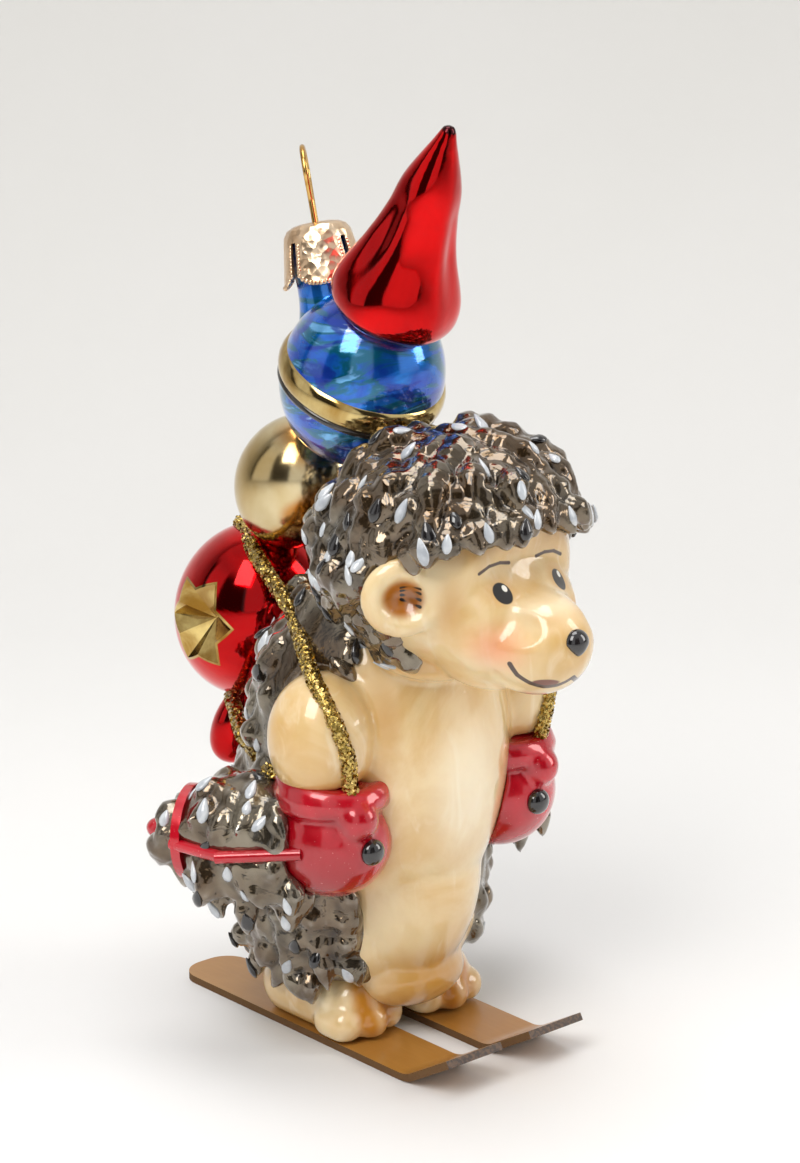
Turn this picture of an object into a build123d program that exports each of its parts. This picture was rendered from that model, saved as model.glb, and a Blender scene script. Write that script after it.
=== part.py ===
from build123d import *
from math import cos, pi, radians, sin, sqrt
import os

# A mouth-blown glass hedgehog on two skis, carrying a tree-top finial on its back.
# Millimetres and degrees. The figure faces -Y, its right side is -X, the floor is z = 0,
# and the origin lies on the floor under the middle of the whole ornament.

# Skis: flat strips of board with upturned tips
ski_width = 11.4
ski_thickness = 1.25
ski_pitch = 17.4
ski_flat_length = 56.0
ski_rear_y = 36.2
ski_tip_length = 9.4
ski_tip_angle = 30.0
ski_bend_radius = 6.0
ski_rear_corner = 4.5

# Adhesive pads between the skis and the soles
glue_thickness = 0.4
glue_width = 7.0
glue_length = 16.0

# Feet: a long body with a row of toes
foot_width = 12.6
foot_length = 25.0
foot_height = 13.0
foot_sole_drop = 4.4
foot_centre_y = 4.4
toe_radius = 3.1
toe_length = 4.5
toe_pitch = 4.2
toe_reach = 1.4
toe_setback = 1.4

# Belly: a turned egg
belly_axis_y = -0.9
belly_rise = 11.3
belly_radius = 19.5
belly_keel = 7.0
belly_lower_height = 37.0
belly_upper_height = 24.0
belly_top_radius = 11.0

# Back coat: a turned barrel, quilled behind, open to the belly in front
coat_axis_y = 5.3
coat_rise = 2.4
coat_radius = 20.3
coat_keel = 18.0
coat_lower_height = 30.2
coat_upper_height = 34.0
coat_top_radius = 8.0
coat_front_y = -8.4
coat_core_y = 2.0
nape_thickness = 2.0

# Pole pockets: the swellings of the coat round the ends of the ski poles
pocket_radius = 10.5
pocket_half_length = 16.0
pocket_setback = 11.5
pocket_drop = 2.0
pocket_splay = 30.0

# Head, muzzle and nose
head_radius = 18.2
head_sink = 10.3
head_forward = 15.0
muzzle_radius = 8.4
muzzle_half_length = 10.0
muzzle_reach = 10.0
muzzle_drop = 9.3
cheek_radius = 12.4
cheek_reach = 4.0
cheek_drop = 6.5
nose_radius = 2.1
nose_half_length = 2.0
nose_lift = 0.8

# Head coat: a quilled cap over the crown and the nape
head_coat_thickness = 1.8
fringe_lift = 9.3
fringe_slope = 28.0

# Ears: round dished plates
ear_radius = 6.3
ear_thickness = 4.2
ear_hollow_radius = 4.0
ear_hollow_depth = 1.6
ear_bearing = 66.0
ear_drop = 2.0
ear_turn = 32.0
ear_stand_off = 0.6

# Arms, cuffs and mittens
arm_radius = 8.4
arm_half_length = 10.5
arm_sink = 8.6
arm_forward = 6.5
mitten_radius = 9.4
mitten_sink = 11.4
mitten_forward = 7.1
mitten_height = 25.0
thumb_radius = 3.4
thumb_bearing = 78.0
thumb_lift = 34.0
cuff_radius = 9.4
cuff_half_height = 2.6
cuff_overlap = 4.0
arm_overlap = 4.6

# Ski poles
grip_radius = 2.1
grip_half_length = 1.5
pole_radius = 1.0
pole_start_back = 2.0
pole_start_out = 8.8
pole_bend_back = 3.0
pole_lift = 1.0
basket_thickness = 1.5
basket_stand_off = 0.7
basket_rim = 2.2
basket_setback = 12.0

# Finial: a chain of blown baubles up the back
red_radius = 13.2
red_half_length = 15.3
red_sink = 6.5
red_height = 49.6
red_to_gold_lean = 25.0
gold_radius = 9.9
gold_half_length = 11.7
gold_to_blue_lean = 39.0
blue_radius = 12.9
blue_half_length = 14.7
finial_overlap = 0.7
blue_lean = 26.0
band_half_height = 1.1
band_stand_off = 0.7
spire_radius = 10.0
spire_length = 30.4
spire_mid_radius = 6.5
spire_tip_radius = 0.9
spire_sole_depth = 5.0
spire_lean = 23.5
spire_seat_lean = 31.0
spire_sink = -1.0
knob_radius = 3.9
knob_length = 14.6
knob_widest = 9.6
knob_stem_radius = 1.9
knob_lean = 15.0
knob_sink = 0.6

# Star reflectors: six-pointed hollows pressed into the sides of the red bauble
star_points = 6
star_radius = 17.0
star_notch_radius = 8.8
star_depth = 5.6
star_margin = 1.2
star_lining = 0.5
star_turn = 2.0

# Neck of the glass, an open tube
neck_lean = 15.0
neck_offset = 5.0
neck_length = 22.4
neck_rim_radius = 4.6
neck_root_radius = 6.0
neck_root_height = 3.0
neck_flare_start = 8.5
neck_bore_radius = 3.6
neck_bore_depth = 19.0

# Metal cap with four bent tabs
cap_wall = 0.4
cap_clearance = 0.15
cap_skirt_height = 8.6
cap_skirt_flare = 1.3
cap_tabs = 4
cap_slit_width = 1.8
cap_slit_height = 5.8
cap_crown_radius = 3.4
cap_crown_height = 0.45

# Wire hanger
wire_radius = 0.45
wire_clearance = 0.25
wire_hole_offset = 2.4
loop_half_width = 4.2
loop_height = 13.0
loop_waist_height = 4.8
loop_shoulder_height = 8.6
leg_straight_depth = 3.4
leg_depth = 10.5
leg_spread = 0.5
loop_turn = 49.0

# Glitter straps, laid as beads on the glass
strap_radius = 1.1

# Quills
quill_radius = 1.6
quill_tip_radius = 0.6
quill_length = 5.8
quill_root = 1.0
quill_lift = 21.5
quill_pitch = 4.6
quill_row_pitch = 5.6
quill_gap = 0.4
quill_sink = 0.5
quill_bed = 1.2
quill_flat_limit = 0.2
quill_front_limit = -0.6

# Heights and centres worked out from the dimensions above
sole_z = ski_thickness + glue_thickness
belly_bottom = sole_z + belly_rise
belly_widest = belly_bottom + belly_lower_height
belly_top = belly_widest + belly_upper_height
coat_bottom = sole_z + coat_rise
coat_widest = coat_bottom + coat_lower_height
coat_top = coat_widest + coat_upper_height


def lean_direction(angle):
    """A direction in the plane x = 0, leaning forward from vertical by the angle."""
    return Vector(0, -sin(radians(angle)), cos(radians(angle)))


def bearing_direction(bearing, lift):
    """A direction to the figure's right, turned from straight ahead by the bearing and raised by the lift."""
    flat = cos(radians(lift))
    return Vector(-flat * sin(radians(bearing)), -flat * cos(radians(bearing)), sin(radians(lift)))


head_centre = Vector(0, belly_axis_y - head_forward, belly_top + head_radius - head_sink)
head_coat_radius = head_radius + head_coat_thickness
muzzle_centre = head_centre + Vector(0, -head_radius + muzzle_half_length - muzzle_reach, -muzzle_drop)
mitten_centre = Vector(-(belly_radius + mitten_radius - mitten_sink), belly_axis_y - mitten_forward,
                       belly_bottom + mitten_height)
cuff_centre = mitten_centre + Vector(0, 0, mitten_radius + cuff_half_height - cuff_overlap)
arm_centre = Vector(-(belly_radius + arm_radius - arm_sink), belly_axis_y - arm_forward,
                    cuff_centre.Z + cuff_half_height + arm_half_length - arm_overlap)
pocket_direction = Vector(-sin(radians(pocket_splay)) * cos(radians(pocket_drop)),
                          cos(radians(pocket_splay)) * cos(radians(pocket_drop)), -sin(radians(pocket_drop)))
pocket_side = Vector(-cos(radians(pocket_splay)), -sin(radians(pocket_splay)), 0)
pocket_centre = mitten_centre + pocket_direction * pocket_setback + Vector(0, 0, -pole_lift)

red_centre = Vector(0, coat_axis_y + coat_radius + red_radius - red_sink, belly_bottom + red_height)
red_direction = lean_direction(red_to_gold_lean)
gold_centre = red_centre + red_direction * (red_half_length + gold_half_length - finial_overlap)
gold_direction = lean_direction((red_to_gold_lean + gold_to_blue_lean) / 2)
blue_direction = lean_direction(blue_lean)
blue_centre = gold_centre + lean_direction(gold_to_blue_lean) * (gold_half_length + blue_half_length - finial_overlap)
spire_direction = lean_direction(spire_lean)
spire_base = blue_centre + lean_direction(spire_seat_lean) * (blue_half_length - spire_sink)
knob_direction = lean_direction(knob_lean) * -1
knob_base = red_centre + knob_direction * (red_half_length - knob_sink)
neck_direction = lean_direction(-neck_lean)
neck_rim = blue_centre + Vector(0, neck_offset, 0) + neck_direction * neck_length


def turned(profile):
    """The solid that a closed profile in the plane y = 0 sweeps round the Z axis."""
    return revolve(Plane.XZ * profile, Axis.Z)


def along(origin, direction):
    """The plane whose normal runs along a direction, with its X axis across the figure."""
    return Plane(origin, x_dir=(1, 0, 0), z_dir=direction)


def spheroid(centre, direction, radius, half_length):
    """A rugby-ball form of the given radius, with its long axis along a direction."""
    ball = scale(Sphere(radius), by=(1, 1, half_length / radius))
    return Plane(centre, z_dir=direction) * ball


def capsule(centre, direction, radius, half_length):
    """A round bar with round ends."""
    straight = half_length - radius
    bar = Cylinder(radius, 2 * straight) + Pos(0, 0, straight) * Sphere(radius) + Pos(0, 0, -straight) * Sphere(radius)
    return Plane(centre, z_dir=direction) * bar


def egg_curves(keel, radius, lower_height, upper_height, top_radius):
    """The lower and upper curves of an egg, from its bottom pole up to its cut top."""
    top = lower_height + upper_height
    lower = Bezier((0, 0), (keel, 0), (radius, lower_height * 0.4), (radius, lower_height))
    upper = Bezier((radius, lower_height), (radius, lower_height + upper_height * 0.45),
                   ((radius + top_radius) / 2, lower_height + upper_height * 0.75), (top_radius, top))
    return lower, upper


def egg(axis_y, bottom, curves, top_radius, height):
    """A turned egg standing on its pole."""
    closing = Polyline((top_radius, height), (0, height), (0, 0))
    profile = make_face(Curve() + [*curves, closing])
    return Pos(0, axis_y, bottom) * turned(profile)


def belly_egg(growth=0.0):
    curves = egg_curves(belly_keel, belly_radius + growth, belly_lower_height, belly_upper_height,
                        belly_top_radius + growth)
    return egg(belly_axis_y, belly_bottom, curves, belly_top_radius + growth, belly_top - belly_bottom)


def coat_egg():
    curves = egg_curves(coat_keel, coat_radius, coat_lower_height, coat_upper_height, coat_top_radius)
    return egg(coat_axis_y, coat_bottom, curves, coat_top_radius, coat_top - coat_bottom)


def left_of(piece):
    """The mirror image of a right-hand piece."""
    return mirror(piece, Plane.YZ)


def both(piece):
    """A right-hand piece with its mirror image, for cutting."""
    return [piece, left_of(piece)]


def cut(piece, tools):
    """A piece less every tool."""
    for tool in tools:
        piece = piece - tool
    return piece


def ski():
    """A strip with a flat sole, an upturned tip and rounded rear corners."""
    bend_y = ski_rear_y - ski_flat_length
    turn = radians(ski_tip_angle)
    tip_run = Vector(-cos(turn), sin(turn)) * ski_tip_length
    upward = Vector(sin(turn), cos(turn)) * ski_thickness
    outer_radius = ski_bend_radius + ski_thickness
    sole = Line((ski_rear_y, 0), (bend_y, 0))
    outer_bend = JernArc((bend_y, 0), (-1, 0), outer_radius, -ski_tip_angle)
    tip_sole = Line(outer_bend @ 1, outer_bend @ 1 + tip_run)
    tip_end = Line(tip_sole @ 1, tip_sole @ 1 + upward)
    tip_top = Line(tip_end @ 1, tip_end @ 1 - tip_run)
    inner_bend = JernArc((bend_y, ski_thickness), (-1, 0), ski_bend_radius, -ski_tip_angle)
    top = Polyline((bend_y, ski_thickness), (ski_rear_y, ski_thickness), (ski_rear_y, 0))
    profile = make_face(Curve() + [sole, outer_bend, tip_sole, tip_end, tip_top, inner_bend, top])
    strip = extrude(Plane.YZ * profile, ski_width / 2, both=True)
    rear_edges = strip.edges().filter_by(Axis.Z).sort_by(Axis.Y)[-2:]
    return Pos(-ski_pitch / 2, 0, 0) * fillet(rear_edges, min(ski_rear_corner, ski_width * 0.45))


def glue_pad():
    """A pressed-out pad of clear adhesive on the ski."""
    outline = SlotOverall(glue_length, glue_width, rotation=90)
    return Pos(-ski_pitch / 2, foot_centre_y, ski_thickness) * extrude(outline, glue_thickness)


def foot():
    """A long rounded foot with an instep and three toes, cut flat at the sole."""
    half_width = foot_width / 2
    centre = Vector(-ski_pitch / 2, foot_centre_y, sole_z + foot_sole_drop)
    instep = Vector(centre.X, foot_centre_y, sole_z + foot_height - half_width)
    form = capsule(centre, (0, 1, 0), half_width, foot_length / 2) + Pos(instep) * Sphere(half_width)
    for place in (-1, 0, 1):
        toe_y = foot_centre_y - foot_length / 2 + toe_length - toe_reach + abs(place) * toe_setback
        toe_centre = Vector(centre.X + place * toe_pitch, toe_y, sole_z + toe_radius * 0.8)
        form += capsule(toe_centre, (0, 1, 0), toe_radius, toe_length)
    below = Box(4 * foot_width, 4 * foot_length, foot_height, align=(Align.CENTER, Align.CENTER, Align.MAX))
    return form - Pos(centre.X, foot_centre_y, sole_z) * below


def head():
    """A round head with a tapered muzzle."""
    skull = Pos(head_centre) * Sphere(head_radius)
    cheeks = Pos(head_centre + Vector(0, -head_radius + cheek_radius - cheek_reach, -cheek_drop)) * Sphere(cheek_radius)
    return skull + cheeks + spheroid(muzzle_centre, (0, 1, 0), muzzle_radius, muzzle_half_length)


def nose():
    tip = muzzle_centre + Vector(0, -muzzle_half_length + nose_half_length / 2, nose_lift)
    return spheroid(tip, (0, 1, 0), nose_radius, nose_half_length)


def head_cap():
    """The shell over the crown and nape, above a plane that falls from the brow to the nape."""
    shell = Pos(head_centre) * Sphere(head_coat_radius)
    brow = head_centre + Vector(0, -head_radius, fringe_lift)
    lower_half = Box(6 * head_radius, 8 * head_radius, 4 * head_radius,
                     align=(Align.CENTER, Align.CENTER, Align.MAX))
    return shell - Pos(brow) * Rot(-fringe_slope, 0, 0) * lower_half


def ear():
    """A round plate with a dished face, standing out from the side of the head."""
    outward = bearing_direction(ear_bearing, 0)
    centre = head_centre + outward * (head_radius + ear_stand_off) + Vector(0, 0, -ear_drop)
    facing = bearing_direction(ear_bearing - ear_turn, 0)
    plate = spheroid(centre, facing, ear_radius, ear_thickness / 2)
    hollow = spheroid(centre + facing * (ear_thickness / 2), facing, ear_hollow_radius, ear_hollow_depth)
    return plate - hollow


def arm():
    return spheroid(arm_centre, (0, 0, 1), arm_radius, arm_half_length)


def cuff():
    return spheroid(cuff_centre, (0, 0, 1), cuff_radius, cuff_half_height)


def mitten():
    """A round fist with a thumb folded over its front."""
    thumb = mitten_centre + bearing_direction(90 - thumb_bearing, thumb_lift) * mitten_radius
    return Pos(mitten_centre) * Sphere(mitten_radius) + Pos(thumb) * Sphere(thumb_radius)


def grip():
    """The rounded end of the pole's grip, standing out of the fist."""
    return spheroid(mitten_centre + Vector(0, -mitten_radius, 0), (0, 1, 0), grip_radius, grip_half_length)


def pole_pocket():
    return spheroid(pocket_centre, pocket_direction, pocket_radius, pocket_half_length)


def pocket_radius_at(setback):
    """The radius of a pole pocket at a distance behind its middle."""
    share = setback / pocket_half_length
    return pocket_radius * sqrt(1 - share * share)


def rod_between(start, end):
    """A round rod between two points, run on a little past its end."""
    run = end - start
    form = Cylinder(pole_radius, run.length + pole_radius, align=(Align.CENTER, Align.CENTER, Align.MIN))
    return Plane(start, z_dir=run) * form


def pole():
    """A pole bent along its pocket's outer side, with its ring basket."""
    start = mitten_centre + pocket_direction * pole_start_back + pocket_side * pole_start_out
    bend = pocket_centre + pocket_direction * pole_bend_back + pocket_side * pocket_radius_at(pole_bend_back)
    basket_radius = pocket_radius_at(basket_setback) + basket_stand_off
    ring = Cylinder(basket_radius, basket_thickness) - Cylinder(basket_radius - basket_rim, 2 * basket_thickness)
    basket_centre = pocket_centre + pocket_direction * basket_setback
    basket = along(basket_centre, pocket_direction) * ring
    end = basket_centre + pocket_side * (basket_radius - pole_radius)
    return rod_between(start, bend) + rod_between(bend, end) + basket


def red_ball():
    ball = scale(Sphere(red_radius), by=(1, 1, red_half_length / red_radius))
    seam = Vector(0, -cos(radians(red_to_gold_lean)), -sin(radians(red_to_gold_lean)))
    return Plane(red_centre, x_dir=seam, z_dir=red_direction) * ball


def gold_ball():
    return spheroid(gold_centre, gold_direction, gold_radius, gold_half_length)


def blue_ball():
    ball = scale(Sphere(blue_radius), by=(1, 1, blue_half_length / blue_radius))
    return along(blue_centre, blue_direction) * ball


def band():
    """A raised rounded band round the waist of the blue bauble."""
    section = Pos(blue_radius) * Ellipse(band_stand_off, band_half_height)
    return along(blue_centre, blue_direction) * turned(section)


def spire():
    """A bell-footed spire drawn out to a sealed point."""
    flank = Spline((spire_radius, 0), (spire_mid_radius, spire_length * 0.48), (spire_tip_radius, spire_length),
                   tangents=[(0, 1), (-spire_tip_radius, spire_length / 8)])
    foot_curve = Bezier((0, -spire_sole_depth), (spire_radius, -spire_sole_depth), (spire_radius, 0))
    closing = Polyline((spire_tip_radius, spire_length), (0, spire_length), (0, -spire_sole_depth))
    profile = make_face(Curve() + [flank, foot_curve, closing])
    return along(spire_base, spire_direction) * turned(profile)


def knob():
    """A small drop hanging from the lowest bauble."""
    stem = Bezier((knob_stem_radius, 0), (knob_stem_radius, knob_widest / 3), (knob_radius, knob_widest / 2),
                  (knob_radius, knob_widest))
    bulb = Bezier((knob_radius, knob_widest), (knob_radius, knob_length * 0.85), (knob_radius * 0.7, knob_length),
                  (0, knob_length))
    closing = Polyline((0, knob_length), (0, 0), (knob_stem_radius, 0))
    return along(knob_base, knob_direction) * turned(make_face(Curve() + [stem, bulb, closing]))


def star_pyramid(inset):
    """A pyramid on a six-pointed outline, its mouth just outside the bauble and its point within."""
    corners = []
    for corner in range(2 * star_points):
        turn = radians(star_turn + corner * 180 / star_points)
        reach = star_radius if corner % 2 == 0 else star_notch_radius
        corners.append((reach * cos(turn), reach * sin(turn)))
    outline = make_face(Polyline(*corners, close=True))
    mouth = Plane(red_centre + Vector(-red_radius - star_margin - inset, 0, 0), x_dir=(0, -1, 0), z_dir=(-1, 0, 0))
    point = red_centre + Vector(-red_radius + star_depth - inset, 0, 0)
    return loft([mouth * outline, Vertex(point)])


def neck_tube():
    """The neck before it is bored, flaring into the blue bauble."""
    root = neck_root_height - neck_length
    flare = Bezier((neck_rim_radius, -neck_flare_start), (neck_rim_radius, (root - neck_flare_start) / 2),
                   (neck_root_radius, (root - neck_flare_start) / 2), (neck_root_radius, root))
    outline = Polyline((neck_root_radius, root), (0, root), (0, 0), (neck_rim_radius, 0),
                       (neck_rim_radius, -neck_flare_start))
    return along(neck_rim, neck_direction) * turned(make_face(Curve() + [flare, outline]))


def neck_bore():
    bore = Cylinder(neck_bore_radius, neck_bore_depth, align=(Align.CENTER, Align.CENTER, Align.MAX))
    return along(neck_rim, neck_direction) * bore


def cap():
    """A pressed cap: a crowned plate on the rim and a flared skirt slit into tabs."""
    inner = neck_rim_radius + cap_clearance
    outer = inner + cap_wall
    hem = -cap_skirt_height
    section = Polyline((0, 0), (inner, 0), (inner + cap_skirt_flare, hem), (outer + cap_skirt_flare, hem),
                       (outer, cap_wall), (cap_crown_radius + cap_crown_height, cap_wall),
                       (cap_crown_radius, cap_wall + cap_crown_height), (0, cap_wall + cap_crown_height), close=True)
    form = turned(make_face(section))
    hole = Cylinder(wire_radius + wire_clearance, 4 * (cap_wall + cap_crown_height))
    for side in (-1, 1):
        form -= Rot(0, 0, loop_turn) * Pos(side * wire_hole_offset, 0, 0) * hole
    slit = Box(4 * outer, cap_slit_width, 2 * cap_slit_height)
    for tab in range(cap_tabs // 2):
        form -= Rot(0, 0, loop_turn + (tab + 0.5) * 360 / cap_tabs) * Pos(0, 0, hem) * slit
    return along(neck_rim, neck_direction) * form


def hanger():
    """A sprung wire: a loop above the cap, and two legs spread inside the neck."""
    waist = wire_hole_offset
    side = [(waist + leg_spread, -leg_depth), (waist, -leg_straight_depth), (waist, loop_waist_height),
            (loop_half_width, loop_shoulder_height), (loop_half_width, loop_height)]
    route = [(-across, 0, up) for across, up in side] + [(across, 0, up) for across, up in reversed(side)]
    corner_radii = [6.0, 2.0, 2.5, loop_half_width * 0.98]
    path = FilletPolyline(*route, radius=corner_radii + corner_radii[::-1])
    wire = sweep(Plane(path @ 0, z_dir=path % 0) * Circle(wire_radius), path=path)
    return along(neck_rim, neck_direction) * Rot(0, 0, loop_turn) * wire


def bead(points, radii):
    """A bead of glitter glue along a route of straight runs and tangent arcs."""
    path = FilletPolyline(*points, radius=radii)
    return sweep(Plane(path @ 0, z_dir=path % 0) * Circle(strap_radius), path=path)


def upper_strap():
    """The shoulder strap: from the red bauble's top, past the nape and over the arm to the cuff."""
    points = [
        red_centre + Vector(-0.10 * red_radius, 0.15 * red_radius, 0.96 * red_half_length),
        red_centre + Vector(-0.45 * red_radius, -0.55 * red_radius, 0.80 * red_half_length),
        red_centre + Vector(-0.97 * red_radius, -1.90 * red_radius, 0.50 * red_half_length),
        arm_centre + Vector(-0.36 * arm_radius, -0.20 * arm_radius, 1.02 * arm_half_length),
        arm_centre + Vector(-0.38 * arm_radius, -0.86 * arm_radius, 0.45 * arm_half_length),
        arm_centre + Vector(-0.19 * arm_radius, -1.00 * arm_radius, -0.10 * arm_half_length),
        arm_centre + Vector(-0.08 * arm_radius, -0.92 * arm_radius, -0.62 * arm_half_length),
    ]
    return bead(points, [6.0, 20.0, 6.0, 6.0, 8.0])


def lower_strap():
    """The waist strap: from the knob's stem across to the coat, and round to the arm."""
    stem = knob_base + knob_direction * (knob_sink + strap_radius)
    side = Vector(0, coat_axis_y, stem.Z)
    points = [
        stem + Vector(-knob_stem_radius, 0, 0),
        side + Vector(-0.77 * coat_radius, 0.55 * coat_radius, 0.06 * coat_radius),
        side + Vector(-0.96 * coat_radius, 0.08 * coat_radius, 0.02 * coat_radius),
        arm_centre + Vector(-0.45 * arm_radius, 0.75 * arm_radius, -0.75 * arm_half_length),
    ]
    return bead(points, [12.0, 12.0])


def surface_point(shell, origin, direction):
    """The outermost point of a shell along a ray, with its outward normal."""
    hits = shell.find_intersection_points(Axis(origin, direction))
    ahead = [hit for hit in hits if (hit[0] - origin).dot(direction) > 0]
    return max(ahead, key=lambda hit: (hit[0] - origin).length) if ahead else None


def quill(root, outward, downward):
    """A blunt cone that leans out of the coat and points down its slope, cut flat within the coat."""
    lean = radians(quill_lift)
    axis = downward * cos(lean) + outward * sin(lean)
    start = root - axis * quill_root - outward * quill_sink
    form = Cone(quill_radius, quill_tip_radius, quill_length, align=(Align.CENTER, Align.CENTER, Align.MIN))
    samples = [tuple(start + axis * (quill_length * share)) for share in (0.2, 0.6, 1.0)]
    beneath = Box(4 * quill_length, 4 * quill_length, 4 * quill_length, align=(Align.CENTER, Align.CENTER, Align.MAX))
    return along(start, axis) * form - Plane(root - outward * quill_bed, z_dir=outward) * beneath, samples


def clear_of(samples, tools):
    """Whether a quill stands above the soles and keeps its gap to every tool."""
    room = quill_radius + quill_gap
    if min(point[2] for point in samples) < sole_z + room:
        return False
    for tool, low, high in tools:
        for point in samples:
            near = all(low[i] - room < point[i] < high[i] + room for i in range(3))
            if near and tool.distance_to(Vertex(point)) < room:
                return False
    return True


def planted(shell, origin, direction, tools):
    """The quill where a ray leaves a shell, or nothing where the quill would meet a tool."""
    hit = surface_point(shell, origin, direction)
    if hit is None:
        return []
    root, outward = hit
    if outward.dot(direction) < 0:
        outward = outward * -1
    fall = Vector(0, 0, -1) + outward * outward.Z
    if fall.length < quill_flat_limit:
        return []
    form, samples = quill(root, outward, fall.normalized())
    return [form] if clear_of(samples, tools) else []


def barrel_quills(shell, tools):
    """Rows of quills round the rear of the coat, each row half a pitch from the one below."""
    quills = []
    barrel = coat_egg()
    rows = round((belly_top - coat_bottom) / quill_row_pitch)
    for row in range(1, rows):
        middle = Vector(0, coat_axis_y, coat_bottom + row * quill_row_pitch)
        edge = surface_point(barrel, middle, Vector(0, 1, 0))
        reach = (edge[0] - middle).length if edge else coat_top_radius
        count = round(2 * pi * reach / quill_pitch)
        for step in range(count):
            turn = 2 * pi * (step + 0.5 * (row % 2)) / count
            direction = Vector(cos(turn), sin(turn), 0)
            if direction.Y > quill_front_limit:
                quills += planted(shell, middle, direction, tools)
    return quills


def crown_quills(shell, tools):
    """Rings of quills over the head, combed down and away from the crown."""
    quills = []
    rings = round(head_coat_radius * pi / quill_row_pitch)
    for ring in range(1, rings):
        polar = pi * ring / rings
        count = max(1, round(2 * pi * head_coat_radius * sin(polar) / quill_pitch))
        for step in range(count):
            turn = 2 * pi * (step + 0.5 * (ring % 2)) / count
            direction = Vector(sin(polar) * cos(turn), sin(polar) * sin(turn), cos(polar))
            quills += planted(shell, head_centre, direction, tools)
    return quills


def half_space(y, ahead):
    """A large block on one side of a plane across the figure."""
    size = 8 * coat_radius
    side = Align.MAX if ahead else Align.MIN
    return Pos(0, y, coat_widest) * Box(size, size, size, align=(Align.CENTER, side, Align.CENTER))


def belly():
    """The bare front of the body; the coat takes over behind."""
    return cut(belly_egg(), [half_space(coat_core_y, ahead=False), head()])


def coat_shell():
    """The barrel, the nape and the pole pockets, open in front to the belly."""
    shell = coat_egg().fuse(belly_egg(nape_thickness), *both(pole_pocket()))
    return cut(shell, [half_space(coat_front_y, ahead=True), belly()])


def boxed(tools):
    """Each tool with the corners of its box."""
    return [(tool, tuple(tool.bounding_box().min), tuple(tool.bounding_box().max)) for tool in tools]


def build():
    """Every piece under its own name, each cut by the pieces that press into it."""
    right = {
        "ear": cut(ear(), [head()]),
        "cuff": cut(cuff(), [belly_egg()]),
        "arm": cut(arm(), [belly_egg(), head(), cuff()]),
        "mitten": cut(mitten(), [belly_egg(), cuff()]),
        "pole_grip": cut(grip(), [mitten()]),
        "pole": cut(pole(), [mitten(), belly_egg()]),
        "foot": cut(foot(), [belly_egg()]),
        "glue_pad": glue_pad(),
        "ski": ski(),
        "star": cut(star_pyramid(0.0) & red_ball(), [star_pyramid(star_lining)]),
    }
    middle = {
        "head": head(),
        "nose": cut(nose(), [head()]),
        "belly": belly(),
        "red_bauble": red_ball() - both(star_pyramid(0.0)),
        "gold_bauble": cut(gold_ball(), [red_ball()]),
        "blue_bauble": blue_ball() - [gold_ball(), head(), neck_bore()],
        "bauble_band": cut(band(), [blue_ball(), head(), head_cap(), neck_tube()]),
        "spire": cut(spire(), [blue_ball()]),
        "neck": cut(neck_tube(), [neck_bore(), blue_ball(), spire()]),
        "finial_knob": cut(knob(), [red_ball()]),
        "cap": cap(),
        "hanger_wire": hanger(),
    }
    sides = [tool for form in (ear(), cuff(), arm(), mitten(), pole(), foot()) for tool in both(form)]
    pressed = [head(), red_ball(), gold_ball(), blue_ball(), knob(), *sides]
    crown = cut(head_cap(), [belly(), *pressed])
    back = cut(coat_shell(), [head_cap(), *pressed])
    right["strap_upper"] = cut(upper_strap(), [belly(), back, crown, *pressed])
    right["strap_lower"] = cut(lower_strap(), [belly(), back, *pressed])
    straps = both(right["strap_upper"]) + both(right["strap_lower"])
    around = boxed([*pressed, *straps, *both(right["ski"]), belly()])
    middle["head_coat"] = crown.fuse(*crown_quills(crown, around[1:] + boxed([back])))
    middle["back_coat"] = back.fuse(*barrel_quills(back, around + boxed([middle["head_coat"]])))
    pieces = dict(middle)
    for name, piece in right.items():
        pieces[name + "_right"] = piece
        pieces[name + "_left"] = left_of(piece)
    return pieces


os.makedirs("parts", exist_ok=True)
for node, piece in build().items():
    export_step(piece, f"parts/{node}.step")
    print(node, len(piece.solids()), round(piece.volume, 1))
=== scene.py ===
# %% [markdown]
# # A blown glass hedgehog on skis
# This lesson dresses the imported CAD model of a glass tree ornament. The real ornament is one hollow
# glass bubble, blown into a mould, silvered inside and painted outside with clear and opaque
# lacquers. Blender's work is the soft moulded skin, the paint, the glitter and the reflections.

# %% Load the frame
import bmesh
import bpy
import random
from math import cos, pi, radians, sin
from mathutils import Matrix, Vector
from mathutils.bvhtree import BVHTree


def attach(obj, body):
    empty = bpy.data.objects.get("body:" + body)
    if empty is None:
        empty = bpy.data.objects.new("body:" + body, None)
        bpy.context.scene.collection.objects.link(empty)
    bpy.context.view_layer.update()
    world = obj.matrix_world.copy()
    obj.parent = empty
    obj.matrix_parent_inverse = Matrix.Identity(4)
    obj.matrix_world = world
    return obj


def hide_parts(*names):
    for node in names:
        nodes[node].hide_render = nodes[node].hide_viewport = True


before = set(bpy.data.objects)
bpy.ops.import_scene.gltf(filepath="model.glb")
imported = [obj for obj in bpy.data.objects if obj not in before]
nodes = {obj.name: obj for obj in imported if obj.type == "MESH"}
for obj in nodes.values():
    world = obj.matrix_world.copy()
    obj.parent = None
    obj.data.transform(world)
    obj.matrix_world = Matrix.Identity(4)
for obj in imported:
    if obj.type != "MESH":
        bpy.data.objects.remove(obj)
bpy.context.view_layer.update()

# %% [markdown]
# ## Small helpers
# An operator works on everything that is selected, so each step starts by selecting one object only.
# Sizes are easier to read in millimetres, and colours in the 0 to 255 numbers of a paint chart.

# %% Units and colours
MM = 0.001
UP = Vector((0, 0, 1))
BACKWARD = Vector((0, 1, 0))


def mm(x, y, z):
    """A point given in millimetres, in metres."""
    return Vector((x * MM, y * MM, z * MM))


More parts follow.
